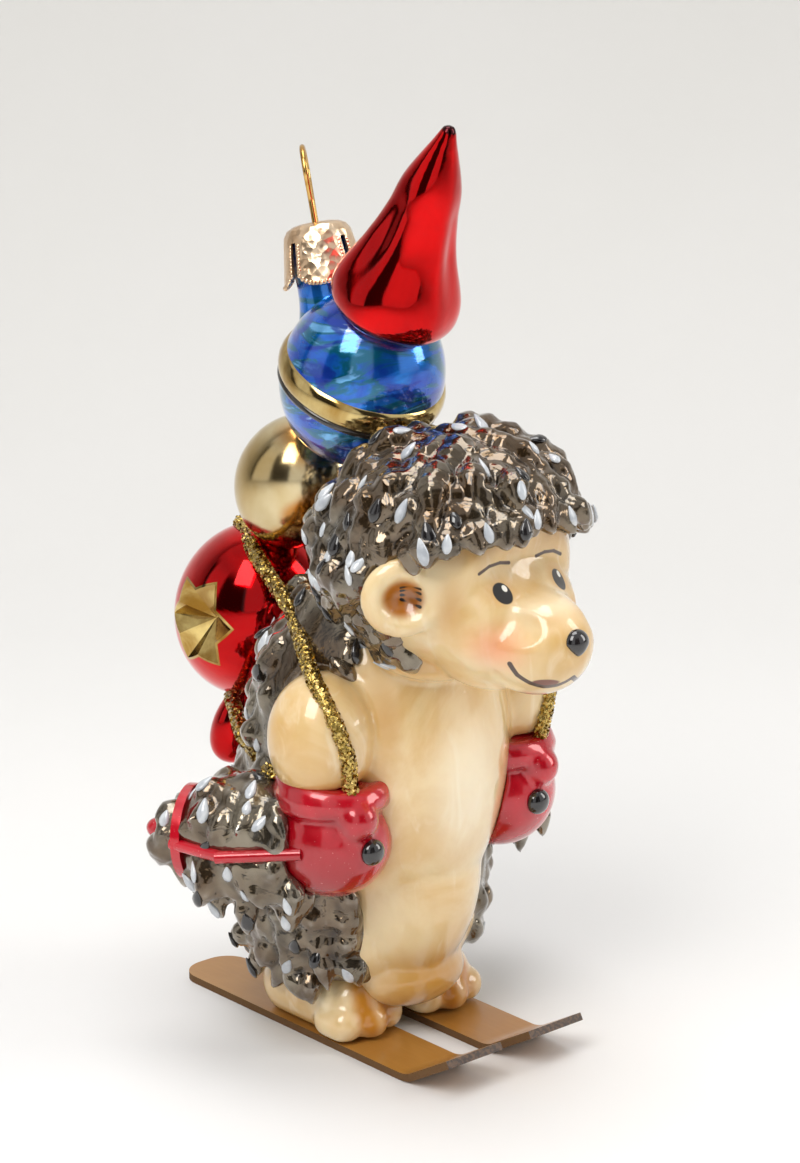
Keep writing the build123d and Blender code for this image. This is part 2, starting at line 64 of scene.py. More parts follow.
def on_side(side, place):
    """A point in millimetres on the figure's right, side -1, or on its left, side 1."""
    return mm(side * place[0], place[1], place[2])


def tint(red, green, blue):
    """A paint-chart colour as the linear colour that a shader takes."""
    linear = []
    for value in (red, green, blue):
        share = value / 255
        linear.append(share / 12.92 if share <= 0.04045 else ((share + 0.055) / 1.055) ** 2.4)
    return (*linear, 1.0)


print("one millimetre is", MM, "of a scene unit")


# %% Objects
def only(obj):
    """Select one object and make it active."""
    bpy.ops.object.select_all(action="DESELECT")
    obj.select_set(True)
    bpy.context.view_layer.objects.active = obj


def linked(name, mesh):
    """A new object for a mesh, in the scene and selected alone."""
    obj = bpy.data.objects.new(name, mesh)
    bpy.context.scene.collection.objects.link(obj)
    only(obj)
    return obj


def mesh_from(builder, name):
    """Turn a finished bmesh into a mesh with its faces facing out."""
    bmesh.ops.recalc_face_normals(builder, faces=builder.faces)
    made = bpy.data.meshes.new(name)
    builder.to_mesh(made)
    builder.free()
    return made


def search_tree(*meshes):
    """A tree that finds the nearest point of some meshes, or where a ray meets them."""
    points, faces = [], []
    for mesh in meshes:
        start = len(points)
        points += [vertex.co.copy() for vertex in mesh.vertices]
        faces += [[start + index for index in face.vertices] for face in mesh.polygons]
    return BVHTree.FromPolygons(points, faces)


def tree_of(*names):
    """A search tree over some CAD nodes."""
    return search_tree(*[nodes[name].data for name in names])


def apply_all(obj):
    """Apply every modifier, as the Apply entry of each one's menu does."""
    only(obj)
    for modifier in list(obj.modifiers):
        bpy.ops.object.modifier_apply(modifier=modifier.name)


def settle(obj):
    """Put the object's place into its mesh, so that the object sits at the origin."""
    only(obj)
    bpy.ops.object.transform_apply(location=True, rotation=True, scale=True)


def give(obj, name, body, slot, material, *replaced):
    """Name a finished piece, paint it, and say what it rides on and stands for."""
    obj.name = name
    obj.data.name = name
    obj.data.materials.clear()
    obj.data.materials.append(material)
    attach(obj, body)
    if replaced:
        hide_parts(*replaced)
    print(name, len(obj.data.polygons), "faces")


# %% [markdown]
# ## Camera
# The photograph looks down a little on the figure's right cheek. The camera stands at the same
# azimuth and height, with a long lens, because the photograph shows very little perspective.

# %% Camera
CAMERA_PLACE = mm(-338.5, -387.5, 222.0)
CAMERA_TARGET = mm(0.0, -3.9, 74.96)
camera_data = bpy.data.cameras.new("camera")
camera_data.lens = 105.25
camera_data.sensor_width = 36.0
camera = bpy.data.objects.new("camera", camera_data)
camera.location = CAMERA_PLACE
camera.rotation_euler = (CAMERA_TARGET - CAMERA_PLACE).to_track_quat("-Z", "Y").to_euler()
bpy.context.scene.collection.objects.link(camera)
bpy.context.scene.camera = camera
print("camera looks from", [round(v, 3) for v in CAMERA_PLACE])

# %% [markdown]
# ## Material tools
# A shader is a tree of nodes. These helpers add a node, set its values and link it, so that a
# finish can be written as sums: a socket takes either a link from another node or a constant.

# %% Node helpers
def feed(tree, socket, value):
    """Give a socket a link or a constant."""
    if isinstance(value, bpy.types.NodeSocket):
        tree.links.new(value, socket)
    elif value is not None:
        socket.default_value = value


def node_in(tree, kind, **values):
    """Add a node and set the named values of its sockets."""
    node = tree.nodes.new(kind)
    for name, value in values.items():
        node.inputs[name.replace("_", " ")].default_value = value
    return node


def maths(tree, operation, first, second=None):
    """A Math node on links or numbers."""
    node = tree.nodes.new("ShaderNodeMath")
    node.operation = operation
    feed(tree, node.inputs[0], first)
    feed(tree, node.inputs[1], second)
    return node.outputs[0]


def vectors(tree, operation, first, second=None, scale=None, output=0):
    """A Vector Math node on links or constants."""
    node = tree.nodes.new("ShaderNodeVectorMath")
    node.operation = operation
    feed(tree, node.inputs[0], first)
    feed(tree, node.inputs[1], second)
    if scale is not None:
        tree.links.new(scale, node.inputs["Scale"])
    return node.outputs[output]


def between(tree, value, low, high):
    """A smooth step from 0 at low to 1 at high."""
    node = tree.nodes.new("ShaderNodeMapRange")
    node.interpolation_type = "SMOOTHSTEP"
    tree.links.new(value, node.inputs["Value"])
    feed(tree, node.inputs["From Min"], low)
    feed(tree, node.inputs["From Max"], high)
    return node.outputs["Result"]


def mixed(tree, mask, first, second):
    """Blend two colours by a mask."""
    node = tree.nodes.new("ShaderNodeMix")
    node.data_type = "RGBA"
    tree.links.new(mask, node.inputs["Factor"])
    feed(tree, node.inputs[6], first)
    feed(tree, node.inputs[7], second)
    return node.outputs[2]


def new_group(name, inputs, outputs):
    """A shader node group with typed sockets."""
    group = bpy.data.node_groups.new(name, "ShaderNodeTree")
    for label, kind in inputs:
        group.interface.new_socket(label, in_out="INPUT", socket_type=kind)
    for label, kind in outputs:
        group.interface.new_socket(label, in_out="OUTPUT", socket_type=kind)
    entry = group.nodes.new("NodeGroupInput")
    leave = group.nodes.new("NodeGroupOutput")
    return group, entry.outputs, leave.inputs


# %% [markdown]
# ## Shared effects
# Several finishes share an effect: a painted spot, a brush stroke, a cloudy mix of two colours.
# Each is a node group with named sockets, made once and placed where it is needed. A spot is a
# distance from a centre, measured in its own three radii, and its mask fades at the rim.

# %% Painted spot
FLOAT, VECTOR, COLOUR = "NodeSocketFloat", "NodeSocketVector", "NodeSocketColor"
spot_group, given, out = new_group(
    "painted spot",
    [("Place", VECTOR), ("Centre", VECTOR), ("Radii", VECTOR), ("Softness", FLOAT)],
    [("Mask", FLOAT)])
offset = vectors(spot_group, "SUBTRACT", given["Place"], given["Centre"])
in_radii = vectors(spot_group, "DIVIDE", offset, given["Radii"])
reach = vectors(spot_group, "LENGTH", in_radii, output="Value")
inner = maths(spot_group, "SUBTRACT", 1.0, given["Softness"])
outside = between(spot_group, reach, inner, 1.0)
spot_group.links.new(maths(spot_group, "SUBTRACT", 1.0, outside), out["Mask"])
print("group", spot_group.name)

# %% [markdown]
# A stroke is the distance from a straight line between two points. The nearest point of the line
# is found with two dot products, held between its ends by a Clamp node.

# %% Brush stroke
stroke_group, given, out = new_group(
    "brush stroke",
    [("Place", VECTOR), ("Start", VECTOR), ("End", VECTOR), ("Width", FLOAT), ("Edge", FLOAT)],
    [("Mask", FLOAT)])
run = vectors(stroke_group, "SUBTRACT", given["End"], given["Start"])
offset = vectors(stroke_group, "SUBTRACT", given["Place"], given["Start"])
passed = vectors(stroke_group, "DOT_PRODUCT", offset, run, output="Value")
whole = vectors(stroke_group, "DOT_PRODUCT", run, run, output="Value")
clamp = stroke_group.nodes.new("ShaderNodeClamp")
stroke_group.links.new(maths(stroke_group, "DIVIDE", passed, whole), clamp.inputs["Value"])
nearest = vectors(stroke_group, "SCALE", run, scale=clamp.outputs[0])
gap = vectors(stroke_group, "LENGTH", vectors(stroke_group, "SUBTRACT", offset, nearest), output="Value")
outer = maths(stroke_group, "ADD", given["Width"], given["Edge"])
outside = between(stroke_group, gap, given["Width"], outer)
stroke_group.links.new(maths(stroke_group, "SUBTRACT", 1.0, outside), out["Mask"])
print("group", stroke_group.name)

# %% [markdown]
# Lacquer is never even. A noise mixes a thin and a thick shade of it.

# %% Cloudy lacquer
cloud_group, given, out = new_group(
    "cloudy lacquer",
    [("Place", VECTOR), ("Scale", FLOAT), ("Thin", COLOUR), ("Thick", COLOUR)],
    [("Colour", COLOUR)])
broad = node_in(cloud_group, "ShaderNodeTexNoise", Detail=5.0, Roughness=0.55, Distortion=0.6)
cloud_group.links.new(given["Place"], broad.inputs["Vector"])
cloud_group.links.new(given["Scale"], broad.inputs["Scale"])
shade = between(cloud_group, broad.outputs["Fac"], 0.32, 0.70)
cloud_group.links.new(mixed(cloud_group, shade, given["Thin"], given["Thick"]), out["Colour"])
print("group", cloud_group.name)


# %% [markdown]
# ## A paint box for one material
# A small class keeps a material's tree, its shader and its place coordinates together, so that a
# finish reads as a list of coats of paint: a ground, then clouds, spots and strokes on top.

# %% Paint box
class Paint:
    """One material as a list of coats."""

    def __init__(self, name, roughness, metallic=0.0, coat=1.0, coat_roughness=0.04):
        self.material = bpy.data.materials.new(name)
        self.material.use_nodes = True
        self.tree = self.material.node_tree
        self.shader = self.tree.nodes["Principled BSDF"]
        self.shader.inputs["Roughness"].default_value = roughness
        self.shader.inputs["Metallic"].default_value = metallic
        self.shader.inputs["Coat Weight"].default_value = coat
        self.shader.inputs["Coat Roughness"].default_value = coat_roughness
        self.place = self.tree.nodes.new("ShaderNodeTexCoord").outputs["Object"]
        self.colour = None
        self.heights = []

    def use(self, group, **values):
        """Place a node group at the object's own coordinates."""
        node = self.tree.nodes.new("ShaderNodeGroup")
        node.node_tree = group
        self.tree.links.new(self.place, node.inputs["Place"])
        for name, value in values.items():
            node.inputs[name].default_value = value
        return node.outputs

    def ground(self, scale, thin, thick):
        """The first coat: a cloudy mix of two shades."""
        self.colour = self.use(cloud_group, Scale=scale, Thin=thin, Thick=thick)["Colour"]

    def over(self, mask, colour, strength=1.0):
        """A coat of colour where the mask lets it through."""
        self.colour = mixed(self.tree, self.times(mask, strength), self.colour, colour)

    def times(self, first, second):
        """A product of masks or of a mask and a number. A factor of 1 adds no node."""
        return first if second == 1.0 else maths(self.tree, "MULTIPLY", first, second)

    def step(self, value, low, high):
        """A smooth step from 0 to 1 between two values."""
        return between(self.tree, value, low, high)

    def inverse(self, mask):
        """The mask with its black and white exchanged."""
        return maths(self.tree, "SUBTRACT", 1.0, mask)

    def parts(self, vector):
        """The X, Y and Z of a vector."""
        node = self.tree.nodes.new("ShaderNodeSeparateXYZ")
        self.tree.links.new(vector, node.inputs[0])
        return node.outputs

    def spot(self, centre, radii, softness, colour, strength=1.0):
        """A round dab of colour in space."""
        mask = self.use(spot_group, Centre=centre, Radii=radii, Softness=softness)["Mask"]
        self.over(mask, colour, strength)

    def stroke(self, points, width, edge, colour):
        """A brush line through some points."""
        for start, end in zip(points, points[1:]):
            mask = self.use(stroke_group, Start=start, End=end, Width=width, Edge=edge)["Mask"]
            self.over(mask, colour)

    def noise(self, scale, detail=3.0, stretch=None, distortion=0.0):
        """A noise, with its three directions stretched apart where that is asked for."""
        node = node_in(self.tree, "ShaderNodeTexNoise", Scale=scale, Detail=detail, Distortion=distortion)
        source = self.place if stretch is None else vectors(self.tree, "MULTIPLY", self.place, stretch)
        self.tree.links.new(source, node.inputs["Vector"])
        return node.outputs["Fac"]

    def relief(self, height, distance, strength=1.0):
        """Note a fine relief, to be made by a Bump node."""
        self.heights.append((height, distance, strength))

    def done(self):
        """Link the colour and the chain of reliefs to the shader."""
        self.tree.links.new(self.colour, self.shader.inputs["Base Color"])
        normal = None
        for height, distance, strength in self.heights:
            bump = node_in(self.tree, "ShaderNodeBump", Strength=strength, Distance=distance)
            self.tree.links.new(height, bump.inputs["Height"])
            if normal is not None:
                self.tree.links.new(normal, bump.inputs["Normal"])
            normal = bump.outputs["Normal"]
        if normal is not None:
            self.tree.links.new(normal, self.shader.inputs["Normal"])
        print("finish", self.material.name)
        return self.material


# %% [markdown]
# ## Cream lacquer
# Belly, arms, ears, feet and head are opaque cream lacquer, wiped thin in places, with
# honey colour in the hollows that is partly glaze and partly painted shade. On the feet the honey lies
# between the toes, over the instep and thinly on the whole foot.

# %% Cream lacquer
CREAM, CREAM_DEEP, CREAM_WIPED = tint(240, 216, 168), tint(219, 178, 112), tint(250, 236, 206)
HONEY, TOE_GLAZE_AND_SHADE = tint(194, 136, 34), tint(196, 126, 36)
INK, BROWN = tint(22, 16, 14), tint(70, 44, 28)
WIPE_STRETCH = (210.0, 210.0, 70.0)
FOOT_MIDDLE = 8.7


def cream(name):
    """The common ground of every cream piece."""
    paint = Paint(name, roughness=0.3)
    paint.ground(55.0, CREAM, CREAM_DEEP)
    wipe = paint.noise(1.0, 4.0, WIPE_STRETCH, 1.2)
    paint.over(paint.step(wipe, 0.55, 0.8), CREAM_WIPED, 0.5)
    paint.shader.inputs["Subsurface Weight"].default_value = 0.12
    paint.shader.inputs["Subsurface Radius"].default_value = (0.004, 0.0022, 0.001)
    paint.relief(paint.noise(190.0, 2.0), 0.0007, 0.35)
    paint.relief(paint.noise(1500.0, 2.0), 0.00006, 0.25)
    return paint


foot_paint = cream("foot lacquer")
for side in (-1, 1):
    foot_x = side * FOOT_MIDDLE
    for toe in (-1, 1):
        # The slits between the toes: honey, partly glaze and partly painted shade
        slit = [mm(foot_x + toe * 2.1, -9.8, 2.4), mm(foot_x + toe * 1.8, -6.0, 10.0)]
        foot_paint.stroke(slit, width=0.0004, edge=0.0024, colour=TOE_GLAZE_AND_SHADE)
    foot_paint.spot(mm(foot_x, -3.0, 13.0), mm(8, 9, 6), 0.9, HONEY, 0.8)
    foot_paint.spot(mm(foot_x, -7.0, 6.0), mm(10, 8, 7), 1.0, HONEY, 0.4)
foot_lacquer = foot_paint.done()

# %% [markdown]
# ## Silvered glass
# Red and gold parts are silver inside the glass with clear colour over it, so they mirror the
# room in one colour. In the shader that is a metal of that colour under a clear coat. A hand-blown
# wall is never true, so a slow swell bends the reflections. The spire has a dark tip, and amber
# lacquer has run over the gold ball in patches.

# %% Silvered glass
def silvered(name, scale, thin, thick, swell, roughness=0.09):
    """Mirror glass in two shades, with the swell of a blown wall."""
    paint = Paint(name, roughness=roughness, metallic=1.0, coat=0.25, coat_roughness=0.02)
    paint.ground(scale, thin, thick)
    paint.relief(paint.noise(75.0, 1.0), 0.001, swell)
    paint.relief(paint.noise(900.0, 2.0), 0.00004, 0.2)
    return paint


red_glass = silvered("red silvered glass", 60.0, tint(226, 4, 8), tint(176, 0, 5), 0.5).done()
spire_paint = silvered("spire glass", 60.0, tint(232, 4, 6), tint(180, 0, 4), 0.4)
spire_paint.spot(mm(0, -15.3, 147.4), mm(1.6, 1.6, 1.3), 0.3, tint(60, 4, 12))
spire_glass = spire_paint.done()
star_gold = silvered("star gold", 130.0, tint(232, 206, 132), tint(150, 108, 34), 0.8, 0.1).done()
band_gold = silvered("band gold", 90.0, tint(226, 204, 142), tint(160, 120, 44), 0.6, 0.12).done()

# Amber patches on the gold ball: centre, radii, softness, colour and strength
AMBER_PATCHES = (
    ((-3, 11.8, 84.5), (5, 5, 4.5), 0.5, (170, 100, 16), 0.85),
    ((-5.7, 13.1, 82.5), (4.5, 4.5, 4), 0.5, (188, 118, 24), 0.85),
    ((-7, 15.5, 79), (5, 5, 2.6), 0.6, (196, 128, 32), 0.7),
    ((-2, 15.9, 95.4), (7, 6, 3), 0.6, (176, 116, 26), 0.85),
    ((-4, 12, 93.5), (7, 6, 3.5), 0.7, (186, 128, 36), 0.8),
)
CHAMPAGNE, CHAMPAGNE_DEEP = tint(228, 214, 176), tint(196, 168, 112)
gold_paint = silvered("champagne silvered glass", 45.0, CHAMPAGNE, CHAMPAGNE_DEEP, 0.6, 0.16)
for centre, radii, softness, colour, strength in AMBER_PATCHES:
    gold_paint.spot(mm(*centre), mm(*radii), softness, tint(*colour), strength)
gold_glass = gold_paint.done()

# %% [markdown]
# ## Brushed blue and crimson
# The blue ball was brushed on in several blues, so two stretched noises lay streaks and dabs over
# the ground; the palest streaks are partly brushed paint and partly painted highlight, and the near-white
# dabs are painted highlights. The mittens are crimson lacquer, with painted shade below the cuff and along
# its top, and a few pale grains of painted sparkle highlight.

# %% Blue and crimson lacquer
blue_paint = Paint("brushed blue lacquer", roughness=0.14, metallic=0.6, coat_roughness=0.03)
blue_paint.ground(120.0, tint(24, 130, 232), tint(10, 70, 190))
streaks_and_highlights = blue_paint.noise(1.0, 5.0, (60.0, 60.0, 210.0), 1.6)
blue_paint.over(blue_paint.step(streaks_and_highlights, 0.48, 0.55), tint(6, 108, 142))
# Palest streaks: partly brushed paint, partly painted highlight
blue_paint.over(blue_paint.step(streaks_and_highlights, 0.57, 0.66), tint(112, 186, 244))
dabs_and_highlights = blue_paint.noise(1.0, 4.0, (90.0, 90.0, 190.0), 1.0)
blue_paint.over(blue_paint.step(dabs_and_highlights, 0.52, 0.60), tint(14, 50, 170), 0.8)
# Near-white dabs: painted highlights
blue_paint.over(blue_paint.step(dabs_and_highlights, 0.64, 0.72), tint(170, 206, 250))
blue_paint.relief(streaks_and_highlights, 0.0004, 0.5)
blue_paint.relief(blue_paint.noise(80.0, 1.0), 0.001, 0.5)
blue_lacquer = blue_paint.done()

crimson_paint = Paint("mitten lacquer", roughness=0.24, metallic=0.18, coat_roughness=0.04)
crimson_paint.ground(70.0, tint(206, 8, 36), tint(168, 2, 22))
for side in (-1, 1):
    # Painted shade below the cuff and along its top edge
    crimson_paint.spot(on_side(side, (17.5, -12.0, 43.6)), mm(11, 9, 2.6), 0.9, tint(108, 2, 16), 0.8)
    crimson_paint.spot(on_side(side, (17.5, -8.0, 48.4)), mm(12, 12, 1.8), 0.9, tint(120, 4, 18), 0.7)
# Pale grains: painted sparkle highlights
sparkle = crimson_paint.noise(2600.0, 1.0)
crimson_paint.over(crimson_paint.step(sparkle, 0.74, 0.79), tint(250, 150, 150), 0.6)
crimson_paint.relief(crimson_paint.noise(160.0, 2.0), 0.0006, 0.4)
crimson = crimson_paint.done()

# %% [markdown]
# ## Enamel, metal and adhesive
# The small finishes: thick glossy enamel, the pressed metal of the cap, the gold wire and the
# clear adhesive under the feet.

# %% Small finishes
black_paint = Paint("black enamel", roughness=0.14)
black_paint.ground(200.0, tint(16, 15, 17), tint(34, 31, 32))
black_paint.relief(black_paint.noise(500.0), 0.0002, 0.25)
black_enamel = black_paint.done()
white_paint = Paint("white enamel", roughness=0.2)
white_paint.ground(260.0, tint(214, 218, 222), tint(170, 176, 184))
white_paint.relief(white_paint.noise(500.0), 0.0002, 0.25)
white_enamel = white_paint.done()

cap_paint = Paint("pressed cap metal", roughness=0.28, metallic=1.0, coat=0.2)
cap_paint.ground(220.0, tint(242, 216, 184), tint(222, 184, 144))
cells = node_in(cap_paint.tree, "ShaderNodeTexVoronoi", Scale=800.0)
cap_paint.tree.links.new(cap_paint.place, cells.inputs["Vector"])
cap_paint.relief(cells.outputs["Distance"], 0.0004, 0.5)
cap_paint.relief(cap_paint.noise(520.0, 1.0), 0.0006, 0.3)
cap_metal = cap_paint.done()
wire_paint = Paint("gold wire", roughness=0.18, metallic=1.0, coat=0.1)
wire_paint.ground(300.0, tint(226, 186, 112), tint(190, 142, 70))
wire_paint.relief(wire_paint.noise(1.0, 2.0, (700.0, 700.0, 180.0)), 0.0001, 0.3)
wire_gold = wire_paint.done()
glue_paint = Paint("clear adhesive", roughness=0.25)
glue_paint.ground(300.0, tint(222, 200, 150), tint(190, 160, 104))
glue_paint.relief(glue_paint.noise(700.0), 0.0003, 0.4)
adhesive = glue_paint.done()

# %% [markdown]
# ## Varnished board
# The skis are varnished board with raw cut edges. The way a face points tells an edge from a flat
# side: edges are darker and matt, and the front end is dark with pale crumbs of fibre.

# %% Board
FACE_ROUGHNESS, EDGE_ROUGHNESS, FACE_COAT = 0.34, 0.95, 0.3
board_paint = Paint("varnished board", FACE_ROUGHNESS, coat=FACE_COAT, coat_roughness=0.12)
board_paint.ground(38.0, tint(174, 124, 56), tint(158, 108, 44))
fibre = board_paint.noise(1.0, 4.0, (1400.0, 160.0, 1400.0))
board_paint.over(board_paint.step(fibre, 0.45, 0.75), tint(196, 144, 74), 0.12)
faces_to = board_paint.parts(board_paint.tree.nodes.new("ShaderNodeNewGeometry").outputs["Normal"])
flatness = maths(board_paint.tree, "ABSOLUTE", faces_to["Z"])
cut_edge = board_paint.inverse(board_paint.step(flatness, 0.35, 0.62))
board_paint.over(cut_edge, tint(104, 74, 42))
front_end = board_paint.step(board_paint.times(faces_to["Y"], -1.0), 0.6, 0.8)
crumbs = board_paint.step(board_paint.noise(1700.0, 4.0), 0.38, 0.64)
board_paint.over(front_end, tint(46, 28, 16))
board_paint.over(board_paint.times(front_end, crumbs), tint(128, 92, 58), 0.4)
board_paint.relief(board_paint.times(cut_edge, board_paint.noise(1500.0, 4.0)), 0.0003, 0.6)
board_paint.relief(fibre, 0.00006, 0.25)
matt = node_in(board_paint.tree, "ShaderNodeMapRange", To_Min=FACE_ROUGHNESS, To_Max=EDGE_ROUGHNESS)
board_paint.tree.links.new(cut_edge, matt.inputs["Value"])
board_paint.tree.links.new(matt.outputs["Result"], board_paint.shader.inputs["Roughness"])
varnish = maths(board_paint.tree, "SUBTRACT", FACE_COAT, board_paint.times(cut_edge, FACE_COAT))
board_paint.tree.links.new(varnish, board_paint.shader.inputs["Coat Weight"])
board = board_paint.done()

# %% [markdown]
# ## Paint the CAD pieces that stay
# A CAD node whose shape is right keeps its mesh and only gets a better finish.

# %% CAD pieces that stay
KEPT = {
    "red_bauble": red_glass, "finial_knob": red_glass, "gold_bauble": gold_glass,
    "blue_bauble": blue_lacquer, "neck": blue_lacquer, "hanger_wire": wire_gold,
}
KEPT_PAIRS = {
    "star": star_gold, "pole_grip": black_enamel, "pole": crimson,
    "glue_pad": adhesive, "ski": board,
}
for pair, material in KEPT_PAIRS.items():
    KEPT[pair + "_right"] = material
    KEPT[pair + "_left"] = material
for node, material in KEPT.items():
    nodes[node].data.materials.clear()
    nodes[node].data.materials.append(material)
print("painted", len(KEPT), "CAD nodes")

# %% [markdown]
# ## Soft blown forms
# Glass blown into a mould rounds every inside corner. A copy of the CAD solid is merged, wrapped in
# a new even skin by the Remesh modifier, and relaxed by the Smooth modifier, which does the same.

# %% Melting tools
def merged_copy(node):
    """A copy of a CAD node with its loose triangles joined up."""
    obj = linked("copy of " + node, nodes[node].data.copy())
    bpy.ops.object.mode_set(mode="EDIT")
    bpy.ops.mesh.select_all(action="SELECT")
    bpy.ops.mesh.remove_doubles(threshold=0.000002)
    bpy.ops.object.mode_set(mode="OBJECT")
    return obj


def ball(centre, radii):
    """A rounded lump to be melted into a form."""
    bpy.ops.object.select_all(action="DESELECT")
    bpy.ops.mesh.primitive_uv_sphere_add(segments=48, ring_count=32, radius=1.0, location=centre)
    obj = bpy.context.active_object
    obj.scale = radii
    settle(obj)
    return obj


def melted(pieces, voxel, passes):
    """Join some forms and draw one even, relaxed skin over them."""
    bpy.ops.object.select_all(action="DESELECT")
    for piece in pieces:
        piece.select_set(True)
    bpy.context.view_layer.objects.active = pieces[0]
    if len(pieces) > 1:
        bpy.ops.object.join()
    obj = bpy.context.active_object
    skin = obj.modifiers.new("skin", "REMESH")
    skin.mode = "VOXEL"
    skin.voxel_size = voxel
    relax = obj.modifiers.new("relax", "SMOOTH")
    relax.factor = 0.5
    relax.iterations = passes
    apply_all(obj)
    bpy.ops.object.shade_smooth()
    return obj


def softened(node, voxel, passes):
    """A copy of a CAD node with its creases rounded as in blown glass."""
    return melted([merged_copy(node)], voxel, passes)


def pressed(obj, centre, radii, push):
    """Move the points near a centre, most at the centre and none beyond the radii."""
    for vertex in obj.data.vertices:
        offset = vertex.co - centre
        reach = sum((offset[i] / radii[i]) ** 2 for i in range(3))
        if reach < 1:
            vertex.co += push * (1 - reach) ** 2


# %% [markdown]
# ## The figure's skin
# Head, belly, arms and ears are one bubble, so their copies melt together with a few lumps that
# fill the hollows between them. The far ear is first turned back round the head, because the
# photograph doesn't show it past the cheek.

# %% Figure skin
HEAD_MIDDLE = mm(0, -15.9, 81.85)
FAR_EAR_TURN = radians(-18)
# The lumps' centres and radii: paunch, throat, hips, between the feet, and the two shoulders
LUMPS = (
    ((0, -5.0, 27.5), (13.0, 11.5, 19.0)),
    ((0, -15.5, 67.5), (13, 10, 5)),
    ((0, -4.0, 17.5), (15.0, 7.6, 9.5)),
    ((0, -6.5, 10.5), (10.0, 6.8, 5.5)),
    ((-13.0, -7.5, 55.0), (7.0, 6.0, 9.0)),
    ((13.0, -7.5, 55.0), (7.0, 6.0, 9.0)),
)
far_ear = merged_copy("ear_left")
bpy.ops.transform.rotate(value=FAR_EAR_TURN, orient_axis="Z", center_override=HEAD_MIDDLE)
settle(far_ear)
figure_forms = [merged_copy(name) for name in ("head", "belly", "arm_right", "arm_left", "ear_right")]
figure_forms.append(far_ear)
figure_forms += [ball(mm(*centre), mm(*radii)) for centre, radii in LUMPS]
soft_figure = melted(figure_forms, 0.00052, 16)
print("figure skin", len(soft_figure.data.polygons), "faces")

# %% [markdown]
# The face is then pressed with a thumb, so to speak: the bridge of the nose goes in, the cheeks
# come out, the muzzle narrows, and each ear gets its dish.

# %% Press the face
# Each press has a centre, radii and a push in millimetres
BRIDGE = ((0, -34.0, 82.0), (13, 9, 8), (0, 3.0, 0))
CHEEK = ((9.5, -32.0, 70.5), (6, 7, 6), (0.6, -0.6, 0))
MUZZLE = ((7.0, -38.5, 76.5), (4, 6, 4), (-0.9, 0.8, 0))
EAR_DISHES = (
    ((-17.6, -25.6, 79.7), (5, 5, 4.6), (1.2, 2.0, 0)),
    ((19.6, -19.6, 79.7), (5, 5, 4.6), (-1.2, 1.0, 0)),
)
presses = [(1, BRIDGE)]
for side in (-1, 1):
    presses += [(side, CHEEK), (side, MUZZLE)]
presses += [(1, dish) for dish in EAR_DISHES]
for side, (centre, radii, push) in presses:
    pressed(soft_figure, on_side(side, centre), mm(*radii), on_side(side, push))
print("pressed", len(presses), "places")

# %% [markdown]
# ## Nose and feet
# The nose is a drop of black enamel, narrower below. The feet are softened copies.

# %% Nose and feet
NOSE_HEIGHT, NOSE_RADII, NOSE_TAPER = 74.0, (2.15, 1.7, 2.1), 0.5
nose_drop = ball(mm(0, -43.4, NOSE_HEIGHT), mm(*NOSE_RADII))
for vertex in nose_drop.data.vertices:
    below = (NOSE_HEIGHT * MM - vertex.co.z) / (NOSE_RADII[2] * MM)
    vertex.co.x *= 1.0 - NOSE_TAPER * max(0.0, below)
bpy.ops.object.shade_smooth()
give(nose_drop, "nose_drop", "figure", "black_enamel", black_enamel, "nose")
for side in ("right", "left"):
    foot = softened("foot_" + side, 0.0005, 7)
    give(foot, "soft_foot_" + side, "figure", "cream_glass", foot_lacquer, "foot_" + side)

# %% [markdown]
# ## Glaze, painted light and painted shade on the figure
# Pale cream on the chest is partly the lacquer's own tone and partly painted light; on the muzzle it is a
# painted highlight. Honey under the belly and the chin, and on both sides in the hollows, is partly glaze and
# partly painted shade. A position in space places each coat.

# %% Glaze, painted light and shade
# Pale coats, partly painted highlight, and honey coats, partly painted shade, on the middle: centre, radii,
# softness, colour and strength
MIDDLE_LIGHT_AND_SHADE = (
    # Chest: partly the lacquer's own paler tone, partly painted light
    ((0, -25, 44), (13, 12, 24), 0.95, tint(252, 242, 220), 0.85),
    # Muzzle: painted highlight
    ((0, -38, 78), (9, 8, 4.5), 1.0, tint(251, 240, 214), 0.6),
    # Under the belly and under the chin: honey, partly glaze and partly painted shade
    ((0, -12, 11), (18, 14, 9), 0.9, HONEY, 0.85),
    ((0, -24, 66.5), (13, 9, 4), 0.95, HONEY, 0.45),
)
# Honey on both sides, partly glaze and partly painted shade: above the mitten, beside the chest and the
# belly, at jaw, temple and brow
SIDE_GLAZE_AND_SHADE = (
    ((18, -14, 49), (9, 7, 5), 0.9, 0.5),
    ((12.5, -15, 57), (3, 7, 12), 0.95, 0.45),
    ((14, -14, 30), (5, 8, 17), 0.95, 0.5),
    ((12.5, -23, 67.5), (6, 9, 4.5), 0.95, 0.68),
    ((12, -28, 78), (2.6, 6, 9), 0.95, 0.65),
    ((9, -29, 87.5), (12, 9, 4.2), 0.9, 0.7),
)
figure_paint = cream("figure lacquer")
for centre, radii, softness, colour, strength in MIDDLE_LIGHT_AND_SHADE:
    figure_paint.spot(mm(*centre), mm(*radii), softness, colour, strength)
skin_tree = search_tree(soft_figure.data)
print("glazed", len(MIDDLE_LIGHT_AND_SHADE), "places on the middle")

# %% [markdown]
# ## The painted face
# The face is painted on with a brush: black eyes with a white glint, thin brows, a brown smile and
# two soft patches of blush. The paint follows the surface, so each brush point is dropped onto the
# head from the front with a ray, and the paint is made as masks in space round those points.

# %% Painted face
FINE_LINE, SMILE_LINE, LINE_EDGE = 0.00018, 0.00034, 0.00018
BROW = ((8.4, 83.6), (6.6, 84.5), (4.6, 84.7), (2.8, 84.4))
SMILE = ((7.8, 70.9), (6.9, 69.2), (5.4, 67.9), (3.6, 67.2), (1.9, 67.4), (0.0, 68.5))
